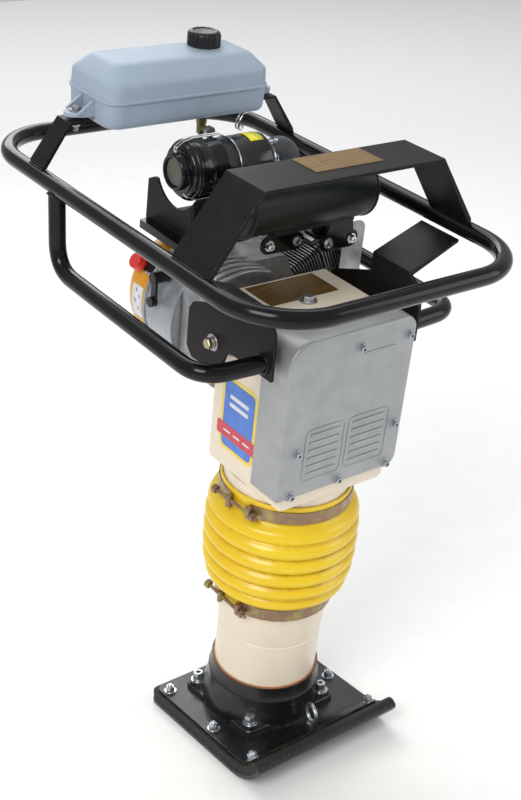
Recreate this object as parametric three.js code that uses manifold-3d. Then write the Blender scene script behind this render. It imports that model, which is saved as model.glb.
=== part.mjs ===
// Tamping rammer (jumping jack). Millimetres, +Z up. The toe of the shoe points to -Y,
// the operator stands at +Y. The origin is the centre of the flat sole face.
// Everything above the shoe leans forward by LEAN about the X axis. Its pieces are drawn in the
// leaning frame: u across, v backwards, w along the leg.
import * as THREE from 'three';
import { mergeVertices } from 'three/addons/utils/BufferGeometryUtils.js';
import Module from 'manifold-3d';

const wasm = await Module();
wasm.setup();

// ---------------------------------------------------------------- driving dimensions
const LEAN = THREE.MathUtils.degToRad(8);
const GAP = 0.3;

const SHOE_W = 278;
const SHOE_REAR = 118;
const TOE_START = -110;
const TOE_R = 88;
const TOE_SWEEP = THREE.MathUtils.degToRad(54);
const SOLE_T = 6;
const DECK_T = 5;
const DECK_TOP = 26;
const PAD_TOP = DECK_TOP - DECK_T - GAP;
const DECK_FRONT = -151;
const FLANGE_HALF = 90;
const FLANGE_BOLT = 72;
const BOSS_TOP = 38;

const LEG_R = 82;
const SLEEVE_R = 86.3;
const LEG_BORE = 72;
const COLLAR_TOP = 110;
const LEG_TOP = 400;
const CLAMP_TIP = 8;
const GUIDE_R = 90;
const GUIDE_FLANGE_R = 96;
const GUIDE_BOTTOM = 300;
const CUFF_LOW = 246;
const CUFF_HIGH = 466;

const CASE_HALF = 94.5;
const CASE_FRONT = -50;
const CASE_REAR = 74;
const CASE_BOTTOM = 483;
const CASE_TOP = 749;
const COVER_HALF = 112;
const COVER_FRONT = -104;
const SILL = 22;
const GEAR_W = 560;
const GEAR_TIP = 69.2;
const PINION_TIP = 18.2;
const CRANK_W = 645;
const CRANK_THROW = 30;
const ROD_LENGTH = 110;
const CAP_W = 350;

const CYL_TILT = THREE.MathUtils.degToRad(25);
const BLOWER_R = 98;
const BLOWER_FRONT = 183;
const BLOWER_REAR = 262;
const RECOIL_R = 93;
const RECOIL_REAR = 336;
const ROPE_RISE = 30;

const LEVER_V = 224;
const LEVER_W = 709;

const LOOP_HALF = 225;
const LOOP_FRONT = -193;
const LOOP_REAR = 523;
const LOOP_W = 840;
const TUBE_R = 12.7;
const LOW_W = 716;
const PLATE_U = 130;
const MOUNT_V = 38;
const MOUNT_W = 696;

const TANK_LEFT = -146;
const TANK_RIGHT = 140;
const TANK_FRONT = 299;
const TANK_REAR = 427;
const TANK_BOTTOM = 909;
const TANK_SEAM = 950;
const TANK_TOP = 999;
const EAR_V = 360;
const CAP_U = 60;
const CAP_V = 372;
const CAP_R = 25.6;
const COCK_U = 24;
const COCK_V = 314;
const COCK_W = 895;

const AIR_V = 244;
const AIR_W = 861;
const MUFFLER_V = 100;
const MUFFLER_W = 860;
const MUFFLER_R = 46;
const MUFFLER_LEFT = -68;
const MUFFLER_RIGHT = 170;

// ---------------------------------------------------------------- colours
const BLACK = [0x17181a, 0.42, 0.2];
const CAST_BLACK = [0x141516, 0.5, 0.3];
const CREAM = [0xeee2cc, 0.42, 0.05];
const SILVER = [0xa9acae, 0.38, 0.75];
const YELLOW = [0xf2cf16, 0.5, 0];
const ZINC = [0x9b8a55, 0.35, 0.85];
const STEEL = [0x8d9092, 0.35, 0.9];
const ENGINE_GREY = [0x9fa2a3, 0.5, 0.6];
const ORANGE = [0xe8a01c, 0.45, 0.1];
const TANK_BLUE = [0xaab6c4, 0.5, 0];
const RUBBER = [0x1b1b1c, 0.85, 0];

// ---------------------------------------------------------------- helpers
function solid(geometry) {
  const bare = new THREE.BufferGeometry();
  const source = geometry.index ? geometry.toNonIndexed() : geometry;
  bare.setAttribute('position', source.getAttribute('position').clone());
  const merged = mergeVertices(bare, 1e-3);
  const index = [];
  const old = merged.index.array;
  for (let i = 0; i < old.length; i += 3) {
    const [a, b, c] = [old[i], old[i + 1], old[i + 2]];
    if (a !== b && b !== c && a !== c) index.push(a, b, c);
  }
  return new wasm.Manifold(new wasm.Mesh({
    numProp: 3,
    vertProperties: new Float32Array(merged.getAttribute('position').array),
    triVerts: new Uint32Array(index),
  }));
}

function union(...parts) {
  return parts.reduce((a, b) => a.add(b));
}

function cut(body, ...tools) {
  return tools.reduce((a, b) => a.subtract(b), body);
}

function box(u0, u1, v0, v1, w0, w1) {
  const g = new THREE.BoxGeometry(u1 - u0, v1 - v0, w1 - w0);
  return solid(g.translate((u0 + u1) / 2, (v0 + v1) / 2, (w0 + w1) / 2));
}

// cylinders along each axis of the frame they are drawn in
function cylW(r, w0, w1, u = 0, v = 0, seg = 24, rTop = r) {
  const g = new THREE.CylinderGeometry(rTop, r, w1 - w0, seg).rotateX(Math.PI / 2);
  return solid(g.translate(u, v, (w0 + w1) / 2));
}

function cylV(r, v0, v1, u, w, seg = 24, rRear = r) {
  const g = new THREE.CylinderGeometry(rRear, r, v1 - v0, seg);
  return solid(g.translate(u, (v0 + v1) / 2, w));
}

function cylU(r, u0, u1, v, w, seg = 24, rEnd = r) {
  const g = new THREE.CylinderGeometry(rEnd, r, u1 - u0, seg).rotateZ(-Math.PI / 2);
  return solid(g.translate((u0 + u1) / 2, v, w));
}

function outline(points) {
  return new THREE.Shape(points.map(([x, y]) => new THREE.Vector2(x, y)));
}

function rounded(x0, x1, y0, y1, r) {
  const s = new THREE.Shape();
  s.moveTo(x0 + r, y0);
  s.lineTo(x1 - r, y0);
  s.absarc(x1 - r, y0 + r, r, -Math.PI / 2, 0);
  s.lineTo(x1, y1 - r);
  s.absarc(x1 - r, y1 - r, r, 0, Math.PI / 2);
  s.lineTo(x0 + r, y1);
  s.absarc(x0 + r, y1 - r, r, Math.PI / 2, Math.PI);
  s.lineTo(x0, y0 + r);
  s.absarc(x0 + r, y0 + r, r, Math.PI, Math.PI * 1.5);
  return s;
}

function prism(shape, depth, bevel = 0) {
  return new THREE.ExtrudeGeometry(shape, {
    depth: depth - 2 * bevel,
    bevelEnabled: bevel > 0,
    bevelThickness: bevel,
    bevelSize: bevel,
    bevelOffset: -bevel,
    bevelSegments: 1,
    curveSegments: 3,
    steps: 1,
  }).translate(0, 0, bevel);
}

// shape (u, v) pushed up from w0 to w1
function alongW(shape, w0, w1, bevel = 0) {
  return solid(prism(shape, w1 - w0, bevel).translate(0, 0, w0));
}

// shape (u, w) pushed back from v0 to v1
function alongV(shape, v0, v1, bevel = 0) {
  return solid(prism(shape, v1 - v0, bevel).translate(0, 0, -v1).rotateX(Math.PI / 2));
}

// shape (v, w) pushed right from u0 to u1
function alongU(shape, u0, u1, bevel = 0) {
  const turn = new THREE.Matrix4().makeBasis(
    new THREE.Vector3(0, 1, 0),
    new THREE.Vector3(0, 0, 1),
    new THREE.Vector3(1, 0, 0),
  );
  return solid(prism(shape, u1 - u0, bevel).translate(0, 0, u0).applyMatrix4(turn));
}

// profile of [radius, w] points turned about the leg axis
function turned(profile, seg = 32) {
  const points = profile.map(([r, w]) => new THREE.Vector2(r, w));
  return solid(new THREE.LatheGeometry(points, seg).rotateX(Math.PI / 2));
}

// straight runs joined by arcs of the given radius at every inner corner
function bentPath(points, radius) {
  const path = new THREE.CurvePath();
  let from = points[0];
  for (let i = 1; i < points.length - 1; i += 1) {
    const back = points[i - 1].clone().sub(points[i]).normalize();
    const ahead = points[i + 1].clone().sub(points[i]).normalize();
    const half = back.angleTo(ahead) / 2;
    const reach = radius / Math.tan(half);
    const start = points[i].clone().addScaledVector(back, reach);
    const end = points[i].clone().addScaledVector(ahead, reach);
    path.add(new THREE.LineCurve3(from, start));
    path.add(new THREE.QuadraticBezierCurve3(start, points[i], end));
    from = end;
  }
  path.add(new THREE.LineCurve3(from, points[points.length - 1]));
  return path;
}

function rod(path, radius, steps, sides = 14) {
  const ring = new THREE.Shape();
  ring.absarc(0, 0, radius, 0, Math.PI * 2);
  const g = new THREE.ExtrudeGeometry(ring, {
    extrudePath: path,
    steps,
    curveSegments: sides,
    bevelEnabled: false,
  });
  return solid(g);
}

// round wire swept along a closed or open list of centres with a given side direction
function sweep(centres, sides, radius, closed) {
  const n = centres.length;
  const positions = [];
  const index = [];
  for (let i = 0; i < n; i += 1) {
    const prev = centres[closed ? (i + n - 1) % n : Math.max(i - 1, 0)];
    const next = centres[closed ? (i + 1) % n : Math.min(i + 1, n - 1)];
    const along = next.clone().sub(prev).normalize();
    const up = new THREE.Vector3(0, 0, 1);
    const out = along.clone().cross(up).normalize();
    const lift = out.clone().cross(along).normalize();
    for (let k = 0; k < sides; k += 1) {
      const a = (k / sides) * Math.PI * 2;
      const p = centres[i].clone()
        .addScaledVector(out, Math.cos(a) * radius)
        .addScaledVector(lift, Math.sin(a) * radius);
      positions.push(p.x, p.y, p.z);
    }
  }
  const last = closed ? n : n - 1;
  for (let i = 0; i < last; i += 1) {
    for (let k = 0; k < sides; k += 1) {
      const a = i * sides + k;
      const b = i * sides + ((k + 1) % sides);
      const c = ((i + 1) % n) * sides + k;
      const d = ((i + 1) % n) * sides + ((k + 1) % sides);
      index.push(a, c, b, b, c, d);
    }
  }
  if (!closed) {
    for (let k = 1; k < sides - 1; k += 1) {
      index.push(0, k, k + 1);
      const e = (n - 1) * sides;
      index.push(e, e + k + 1, e + k);
    }
  }
  const make = (order) => new wasm.Manifold(new wasm.Mesh({
    numProp: 3,
    vertProperties: new Float32Array(positions),
    triVerts: new Uint32Array(order),
  }));
  const body = make(index);
  if (body.volume() > 0) return body;
  const flipped = [];
  for (let i = 0; i < index.length; i += 3) flipped.push(index[i], index[i + 2], index[i + 1]);
  return make(flipped);
}

const group = new THREE.Group();
group.name = 'tamping_rammer';

function add(name, body, look, leaning = true) {
  const made = body.simplify(0.02).getMesh();
  const g = new THREE.BufferGeometry();
  g.setAttribute('position', new THREE.BufferAttribute(new Float32Array(made.vertProperties), 3));
  g.setIndex(new THREE.BufferAttribute(new Uint32Array(made.triVerts), 1));
  if (leaning) g.rotateX(LEAN);
  g.computeVertexNormals();
  const [color, roughness, metalness] = look;
  const mesh = new THREE.Mesh(g, new THREE.MeshStandardMaterial({ color, roughness, metalness }));
  mesh.name = name;
  group.add(mesh);
}

function leanTool(body) {
  return body.rotate([THREE.MathUtils.radToDeg(LEAN), 0, 0]);
}

// ---------------------------------------------------------------- shoe
// side outline of one layer of the shoe: flat, then turned up at the toe
function toeLayer(low, high, sweep = TOE_SWEEP) {
  const s = new THREE.Shape();
  const outer = TOE_R - low;
  const inner = TOE_R - high;
  s.moveTo(SHOE_REAR, low);
  s.lineTo(TOE_START, low);
  s.absarc(TOE_START, TOE_R, outer, -Math.PI / 2, -Math.PI / 2 - sweep, true);
  s.absarc(TOE_START, TOE_R, inner, -Math.PI / 2 - sweep, -Math.PI / 2, false);
  s.lineTo(SHOE_REAR, high);
  return s;
}

function cornerTrim(inset, front = -230) {
  const half = SHOE_W / 2 - inset;
  return alongW(rounded(-half, half, front, SHOE_REAR - inset, 14), -1, 90);
}

// keeps everything behind the round nose that ends the sole and its pad
function noseTrim() {
  const half = SHOE_W / 2 + 1;
  const mid = PAD_TOP / 2;
  const v = TOE_START - (TOE_R - mid) * Math.sin(TOE_SWEEP);
  const z = TOE_R - (TOE_R - mid) * Math.cos(TOE_SWEEP);
  return union(alongU(toeLayer(-1, PAD_TOP + 1), -half, half), cylU(mid, -half, half, v, z, 32));
}

function solePlate() {
  const shape = toeLayer(0, SOLE_T, TOE_SWEEP + 0.3);
  return alongU(shape, -SHOE_W / 2, SHOE_W / 2).intersect(cornerTrim(0)).intersect(noseTrim());
}

function solePad() {
  const shape = toeLayer(SOLE_T + GAP, PAD_TOP, TOE_SWEEP + 0.3);
  return alongU(shape, -SHOE_W / 2, SHOE_W / 2).intersect(cornerTrim(0.6)).intersect(noseTrim());
}

function shoeDeck() {
  const shape = toeLayer(DECK_TOP - DECK_T, DECK_TOP, TOE_SWEEP + 0.3);
  return alongU(shape, -SHOE_W / 2, SHOE_W / 2).intersect(cornerTrim(7, DECK_FRONT));
}

function shoeCasting() {
  const base = DECK_TOP + GAP;
  let body = alongW(rounded(-FLANGE_HALF, FLANGE_HALF, -FLANGE_HALF, FLANGE_HALF, 16), base, 34, 1.5);
  for (const u of [-1, 1]) {
    for (const v of [-1, 1]) {
      body = body.add(cylW(15, base + 2, BOSS_TOP, u * FLANGE_BOLT, v * FLANGE_BOLT, 14));
    }
  }
  const collar = leanTool(turned([
    [0, 15], [97, 15], [97, 48], [92, 62], [90.5, 66], [90.5, 86], [88, 90], [86.5, COLLAR_TOP],
    [84.8, COLLAR_TOP], [84.8, 70], [60, 70], [60, 52], [0, 52],
  ]));
  const above = box(-200, 200, -200, 200, base, 300);
  return body.add(collar.intersect(above));
}

function towingEye() {
  const ring = solid(new THREE.TorusGeometry(16, 3.6, 8, 20).rotateY(Math.PI / 2).rotateZ(-0.22));
  const foot = cylW(8, DECK_TOP - 2, DECK_TOP + 6.5, 0, 0, 20);
  const deck = alongU(toeLayer(-1, DECK_TOP + GAP, TOE_SWEEP + 0.3), -60, 60);
  return union(ring.translate([0, 0, DECK_TOP + 22]), foot).translate([12, -123.5, 0]).subtract(deck);
}

add('sole_plate', solePlate(), CAST_BLACK, false);
add('sole_pad', solePad(), RUBBER, false);
add('shoe_deck', shoeDeck(), CAST_BLACK, false);
add('shoe_casting', shoeCasting(), CAST_BLACK, false);
add('towing_eye', towingEye(), STEEL, false);

// ---------------------------------------------------------------- leg
function springCylinder() {
  return turned([
    [LEG_BORE, 70 + GAP], [LEG_R, 70 + GAP], [LEG_R, 189], [LEG_R - 0.8, 190], [LEG_R - 0.8, 191],
    [LEG_R, 192], [SLEEVE_R, 240], [SLEEVE_R, 284], [LEG_R - 0.4, 290], [LEG_R - 0.4, LEG_TOP],
    [LEG_BORE, LEG_TOP], [LEG_BORE, 70 + GAP],
  ]);
}

function springCap() {
  return turned([
    [17, CAP_W], [LEG_BORE - GAP, CAP_W], [LEG_BORE - GAP, CAP_W + 12], [17, CAP_W + 12], [17, CAP_W],
  ]);
}

function coil(radius, wire, w0, w1, turns) {
  const centres = [];
  const count = turns * 11;
  for (let i = 0; i <= count; i += 1) {
    const a = (i / 11) * Math.PI * 2;
    const w = w0 + wire + ((w1 - w0 - 2 * wire) * i) / count;
    centres.push(new THREE.Vector3(radius * Math.cos(a), radius * Math.sin(a), w));
  }
  return sweep(centres, 6, wire, false);
}

function ramPiston() {
  const top = GEAR_W - CRANK_THROW - ROD_LENGTH;
  let body = union(
    cylW(68, 228, 242, 0, 0, 40),
    cylW(14, 210, top - 20, 0, 0, 28),
    box(-16, 16, -24, 24, top - 26, top - 9.5),
  );
  body = cut(body, box(-40, 40, -13, 13, top - 17, top + 30));
  return body;
}

function guideCylinder() {
  return turned([
    [LEG_R + 0.8, GUIDE_BOTTOM], [GUIDE_R, GUIDE_BOTTOM], [GUIDE_R, 426], [GUIDE_FLANGE_R, 432],
    [GUIDE_FLANGE_R, CASE_BOTTOM - GAP], [LEG_R + 0.8, CASE_BOTTOM - GAP],
    [LEG_R + 0.8, GUIDE_BOTTOM],
  ]);
}

// convoluted rubber sleeve: smooth shoulder at the top, five round waves, a cuff at each end
const BELLOWS_LINE = [
  [276, 94.5], [284, 100.5], [292, 104], [304, 107.5], [320, 110], [345, 111.5], [375, 111.5], [404, 110.5],
  [416, 109], [424, 105.5], [432, 100.2], [436, 98.6],
];
const WAVE_LOW = 278;
const WAVE_HIGH = 406;
const WAVES = 5;

function bellowsRadius(w) {
  let k = 0;
  while (k < BELLOWS_LINE.length - 2 && BELLOWS_LINE[k + 1][0] < w) k += 1;
  const [w0, r0] = BELLOWS_LINE[k];
  const [w1, r1] = BELLOWS_LINE[k + 1];
  const line = r0 + ((r1 - r0) * (w - w0)) / (w1 - w0);
  if (w <= WAVE_LOW || w >= 434) return line;
  const phase = (Math.PI * WAVES * (w - WAVE_LOW)) / (WAVE_HIGH - WAVE_LOW);
  if (w < WAVE_HIGH) return line + 5.5 * Math.abs(Math.sin(phase)) ** 0.8;
  return line + 4.5 * Math.sin(Math.min(Math.PI / 2, (w - WAVE_HIGH) / 7));
}

function bellows() {
  const outer = [];
  for (let w = 276; w <= 436; w += 6.4) outer.push([bellowsRadius(w), w]);
  const lowCuff = SLEEVE_R + GAP;
  const highCuff = GUIDE_FLANGE_R + GAP;
  return turned([
    [lowCuff, CUFF_LOW], [lowCuff + 5, CUFF_LOW], [lowCuff + 5, 275],
    ...outer,
    [highCuff + 3.5, 438], [highCuff + 3.5, CUFF_HIGH], [highCuff, CUFF_HIGH],
    [highCuff, 434], [103, 400], [99, 310], [lowCuff, 285],
    [lowCuff, CUFF_LOW],
  ]);
}

// the clamp screw lies a little askew in its lugs, head end up
function tipped(body, w) {
  return body.translate([0, 0, -w]).rotate([0, CLAMP_TIP, 0]).translate([0, 0, w]);
}

function clampBand(radius, w0, w1, screwSide) {
  const thick = 1.4;
  const band = turned([
    [radius, w0], [radius + thick, w0], [radius + thick, w1], [radius, w1], [radius, w0],
  ]);
  const gapHalf = 17;
  const slot = box(-gapHalf, gapHalf, -radius - 40, -radius + 30, w0 - 5, w1 + 5);
  const lugs = [-1, 1].map((side) => cylW(4.5, w0 + 1, w1 - 1, side * (gapHalf + 2.5), -radius - 5.2, 14));
  const ears = [-1, 1].map((side) => box(
    side * (gapHalf + 2.5) - 2.5, side * (gapHalf + 2.5) + 2.5, -radius - 5, -radius + 2.2, w0 + 1, w1 - 1,
  ));
  const bore = cylW(LEG_R + 100, w0 - 6, w1 + 6, 0, 0, 16).subtract(
    turned([[0, w0 - 6], [radius, w0 - 6], [radius, w1 + 6], [0, w1 + 6]]),
  );
  const hole = tipped(cylU(3.4, -60, 60, -radius - 5.2, (w0 + w1) / 2, 12), (w0 + w1) / 2);
  return cut(union(band.subtract(slot), ...lugs, ...ears).intersect(bore), hole)
    .rotate([0, 0, screwSide]);
}

function clampBolt(radius, w, screwSide) {
  const v = -radius - 5.2;
  return tipped(union(
    cylU(2.9, -44, 38, v, w, 12),
    cylU(7, -51, -43.5, v, w, 6),
    cylU(6.4, 25.8, 31.6, v, w, 6),
  ), w).rotate([0, 0, screwSide]);
}

const LOW_BAND_R = SLEEVE_R + GAP + 5 + 0.6;
const HIGH_BAND_R = GUIDE_FLANGE_R + GAP + 3.5 + 0.6;
const LOW_BAND = [253, 273];
const HIGH_BAND = [438.6, 458.6];
const LOW_TURN = -83;
const HIGH_TURN = -79;

add('spring_cylinder', springCylinder(), CREAM);
add('spring_cap', springCap(), STEEL);
add('spring_lower', coil(52, 6, 72, 227, 5), STEEL);
add('spring_upper', coil(52, 6, 243, CAP_W - 1, 4), STEEL);
add('ram_piston', ramPiston(), STEEL);
add('guide_cylinder', guideCylinder(), CREAM);
add('bellows', bellows(), YELLOW);
add('lower_band', clampBand(LOW_BAND_R, ...LOW_BAND, LOW_TURN), ZINC);
add('upper_band', clampBand(HIGH_BAND_R, ...HIGH_BAND, HIGH_TURN), ZINC);
add('lower_band_bolt', clampBolt(LOW_BAND_R, (LOW_BAND[0] + LOW_BAND[1]) / 2, LOW_TURN), ZINC);
add('upper_band_bolt', clampBolt(HIGH_BAND_R, (HIGH_BAND[0] + HIGH_BAND[1]) / 2, HIGH_TURN), ZINC);

// ---------------------------------------------------------------- crankcase
function housing() {
  const outer = alongV(rounded(-CASE_HALF, CASE_HALF, CASE_BOTTOM, CASE_TOP, 8), CASE_FRONT, CASE_REAR, 1.5);
  const lip = alongW(
    rounded(-CASE_HALF, CASE_HALF, COVER_FRONT + 4, CASE_REAR, 6), CASE_BOTTOM, CASE_BOTTOM + 9, 1.5,
  );
  const sill = box(-CASE_HALF, CASE_HALF, COVER_FRONT + 4, CASE_FRONT + 5, CASE_BOTTOM + 5, CASE_BOTTOM + SILL);
  const inside = alongV(
    rounded(-CASE_HALF + 9, CASE_HALF - 9, CASE_BOTTOM + 9, CASE_TOP - 9, 8), CASE_FRONT - 5, CASE_REAR - 10,
  );
  const throat = cylW(62, CASE_BOTTOM - 5, CASE_BOTTOM + 12, 0, 0, 36);
  const gearBoss = cylV(24, 46, CASE_REAR - 5, 0, GEAR_W, 20);
  const pinionBoss = cylV(24, 50, CASE_REAR - 5, 0, CRANK_W, 20);
  const bores = [
    cylV(15.3, 40, CASE_REAR + 5, 0, GEAR_W, 20),
    cylV(12.3, 40, CASE_REAR + 5, 0, CRANK_W, 20),
  ];
  const pads = [-1, 1].map((s) => cylU(
    24, s > 0 ? CASE_HALF - 2 : -CASE_HALF - 6, s > 0 ? CASE_HALF + 6 : -CASE_HALF + 2, MOUNT_V, MOUNT_W, 28,
  ));
  return cut(union(cut(union(outer, lip, sill), inside, throat), gearBoss, pinionBoss, ...pads), ...bores);
}

function cover() {
  const low = CASE_BOTTOM + SILL + GAP;
  const high = CASE_TOP + 3;
  const rear = CASE_FRONT - GAP;
  const skirt = alongV(rounded(-COVER_HALF, COVER_HALF, low, high, 20), COVER_FRONT, rear, 5);
  const plateau = alongV(
    rounded(-COVER_HALF + 6, COVER_HALF - 6, low + 5, high - 7, 20), COVER_FRONT - 4, COVER_FRONT + 4, 2,
  );
  const hollow = alongV(
    rounded(-CASE_HALF + 5, CASE_HALF - 5, low + 7, high - 8, 14), COVER_FRONT + 7, rear + 5,
  );
  const trim = box(-200, 200, COVER_FRONT - 20, rear, 0, 900);
  return cut(union(skirt, plateau), hollow).intersect(trim);
}

// spur wheel with tapered teeth; phase turns it by a fraction of one tooth
function toothed(teeth, tip, root, v0, v1, w, phase) {
  const points = [];
  const step = (Math.PI * 2) / teeth;
  for (let i = 0; i < teeth; i += 1) {
    for (const [f, r] of [[-0.2, root], [-0.1, tip], [0.1, tip], [0.2, root]]) {
      const a = (i + phase + f) * step;
      points.push([r * Math.sin(a), r * Math.cos(a)]);
    }
  }
  return alongV(outline(points.reverse()), v0, v1).translate([0, 0, w]);
}

function crankGear() {
  return union(
    toothed(32, GEAR_TIP, GEAR_TIP - 4.8, 14, 30, GEAR_W, 0),
    cylV(15, 29, 44, 0, GEAR_W, 20),
    cylV(14.8, 43, CASE_REAR - 1, 0, GEAR_W, 20),
    cylV(11, -14, 15, 0, GEAR_W - CRANK_THROW, 20),
  );
}

function connectingRod() {
  const big = GEAR_W - CRANK_THROW;
  const small = big - ROD_LENGTH;
  const blank = union(
    cylV(20, -11, 11, 0, big, 20),
    cylV(16, -11, 11, 0, small, 20),
    box(-9, 9, -8, 8, small, big),
  );
  return cut(blank, cylV(11.4, -20, 20, 0, big, 20), cylV(8.4, -20, 20, 0, small, 24));
}

function wristPin() {
  return cylV(8, -23, 23, 0, GEAR_W - CRANK_THROW - ROD_LENGTH, 24);
}

function pinion() {
  return union(
    toothed(8, PINION_TIP, PINION_TIP - 4.8, 14, 32, CRANK_W, 0.5),
    cylV(12, 31, 82, 0, CRANK_W, 24),
    cut(cylV(54, 79, 104, 0, CRANK_W, 28), cylV(50, 84, 110, 0, CRANK_W, 28)),
  );
}

add('crankcase_housing', housing(), CREAM);
add('crankcase_cover', cover(), SILVER);
add('crank_gear', crankGear(), STEEL);
add('connecting_rod', connectingRod(), STEEL);
add('wrist_pin', wristPin(), STEEL);
add('pinion_drum', pinion(), STEEL);

// ---------------------------------------------------------------- engine
function clutchHousing() {
  const shape = rounded(-78, 78, CRANK_W - 78, CRANK_W + 78, 40);
  const shelf = alongV(rounded(40, 168, 664, 700, 6), 101.5, 107.5, 1);
  return cut(
    union(alongV(shape, CASE_REAR + GAP, 110, 1.5), shelf),
    cylV(60, CASE_REAR - 5, 120, 0, CRANK_W, 28),
  );
}

function clutchRotor() {
  return cut(cylV(46, 87, 101, 0, CRANK_W, 28), cylV(14.3, 80, 106, 0, CRANK_W, 24));
}

function engineBlock() {
  const v0 = 110 + GAP;
  const v1 = BLOWER_FRONT - GAP;
  const round = alongV(rounded(-84, 84, CRANK_W - 86, CRANK_W + 118, 46), v0, v1, 3);
  const neck = box(40, 92, v0 + 6 - 146, v1 - 6 - 146, -44, 44);
  const clear = box(92, 260, -90, 90, -130, 130);
  const bore = cylV(66, v0 + 8, v1 - 8, 0, CRANK_W, 28);
  const port = cylU(30, 20, 120, 0, 0, 28);
  return cut(
    union(round, tilted(neck)), bore, cylV(15.4, v0 - 5, v1 + 5, 0, CRANK_W, 20), tilted(port), tilted(clear),
  );
}

// a block of cooling fins stacked along the cylinder, drawn along u, then tilted
function finned(s0, s1, core, depth, height, count) {
  let body = box(s0, s1, -depth + 8, depth - 8, -core, core);
  const pitch = (s1 - s0) / count;
  for (let i = 0; i < count; i += 1) {
    const s = s0 + pitch * i;
    body = body.add(box(s, s + pitch * 0.42, -depth, depth, -height, height));
  }
  return body;
}

function tilted(body) {
  return body.rotate([0, -THREE.MathUtils.radToDeg(CYL_TILT), 0]).translate([0, 146, CRANK_W]);
}

function engineCylinder() {
  return tilted(cut(finned(92.4, 148, 34, 35, 57, 7), cylU(29, 80, 160, 0, 0, 28)));
}

function cylinderHead() {
  const fins = finned(148.4, 184, 34, 38, 58, 4);
  const port = box(150, 180, -18, 18, 40, 64);
  return tilted(union(fins, port));
}

function rockerCover() {
  return tilted(alongU(rounded(-36, 36, -48, 34, 14), 184.4, 206, 3));
}

function sparkPlug() {
  return tilted(union(
    cylU(6, 184.6, 214, 0, 46, 14),
    cylU(9, 184.6, 190, 0, 46, 6),
    cylU(8, 203, 222, 0, 46, 16),
  ));
}

function crankshaft() {
  return union(
    cylV(14, 84, 290, 0, CRANK_W, 24),
    cylV(58, 124, 134, 0, CRANK_W, 20),
    cylV(58, 158, 168, 0, CRANK_W, 20),
  );
}

function flywheel() {
  let body = cylV(60, 190, 206, 0, CRANK_W, 28);
  body = body.add(cylV(86, 200, 206, 0, CRANK_W, 28));
  for (let i = 0; i < 8; i += 1) {
    body = body.add(box(40, 84, -1.6, 26, -1.6, 1.6)
      .rotate([0, i * 45, 0])
      .translate([0, 205, CRANK_W]));
  }
  return cut(body, cylV(14.3, 180, 240, 0, CRANK_W, 24));
}

function blowerHousing() {
  const shell = union(
    cylV(BLOWER_R, BLOWER_FRONT, BLOWER_REAR, 0, CRANK_W, 28),
    alongV(rounded(-56, 84, CRANK_W, CRANK_W + 104, 16), BLOWER_FRONT, BLOWER_REAR, 2),
  );
  const room = cylV(BLOWER_R - 4, BLOWER_FRONT + 4, BLOWER_REAR + 5, 0, CRANK_W, 28);
  return cut(shell, room, cylV(20, BLOWER_FRONT - 5, BLOWER_FRONT + 10, 0, CRANK_W, 20));
}

function recoilCover() {
  const v0 = BLOWER_REAR + GAP;
  const profile = [
    [RECOIL_R - 4, v0], [RECOIL_R, v0], [RECOIL_R, v0 + 46], [RECOIL_R - 8, v0 + 60], [62, RECOIL_REAR - 6],
    [56, RECOIL_REAR], [0, RECOIL_REAR], [0, RECOIL_REAR - 4], [53, RECOIL_REAR - 4], [60, RECOIL_REAR - 11],
    [RECOIL_R - 13, v0 + 56], [RECOIL_R - 4, v0 + 44], [RECOIL_R - 4, v0],
  ];
  const points = profile.map(([r, v]) => new THREE.Vector2(r, v));
  let body = solid(new THREE.LatheGeometry(points, 28)).translate([0, 0, CRANK_W]);
  for (let i = 0; i < 8; i += 1) {
    const vent = box(-6, 6, RECOIL_REAR - 8, RECOIL_REAR + 5, 26, 48);
    body = body.subtract(vent.rotate([0, i * 45, 0]).translate([0, 0, CRANK_W]));
  }
  const guideBoss = cylU(11, 66, 100, v0 + 22, CRANK_W + ROPE_RISE, 20);
  const ropeHole = cylU(3.5, 40, 120, v0 + 22, CRANK_W + ROPE_RISE, 12);
  const room = cylV(RECOIL_R - 4.5, v0 - 5, v0 + 44, 0, CRANK_W, 28);
  return cut(body.add(guideBoss.subtract(room)), ropeHole);
}

function recoilPulley() {
  const v = BLOWER_REAR + 30;
  return cut(
    cylV(48, v, v + 14, 0, CRANK_W, 28),
    cut(cylV(60, v + 4, v + 10, 0, CRANK_W, 28), cylV(42, v + 3, v + 11, 0, CRANK_W, 28)),
  );
}

function recoilGrip() {
  const v = BLOWER_REAR + GAP + 22;
  const w = CRANK_W + ROPE_RISE;
  return union(
    cylU(7, 100.4, 114, v, w, 16),
    cylV(8, v - 26, v + 26, 118, w, 16),
  );
}

function stopSwitch() {
  const a = THREE.MathUtils.degToRad(147);
  return union(cylU(9, RECOIL_R + GAP, 103, 0, 0, 18), cylU(14, 102.5, 113, 0, 0, 22, 12))
    .rotate([0, -THREE.MathUtils.radToDeg(a), 0])
    .translate([0, BLOWER_REAR + 34, CRANK_W]);
}

function throttleLever() {
  const hub = cylU(9, -BLOWER_R - 12, -83, LEVER_V, LEVER_W, 20);
  const arm = box(-BLOWER_R - 9, -BLOWER_R - 5, LEVER_V - 6, LEVER_V + 6, LEVER_W - 38, LEVER_W);
  const tip = cylU(8, -BLOWER_R - 15, -BLOWER_R - 5, LEVER_V, LEVER_W - 38, 18);
  return union(hub, arm, tip);
}

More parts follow.
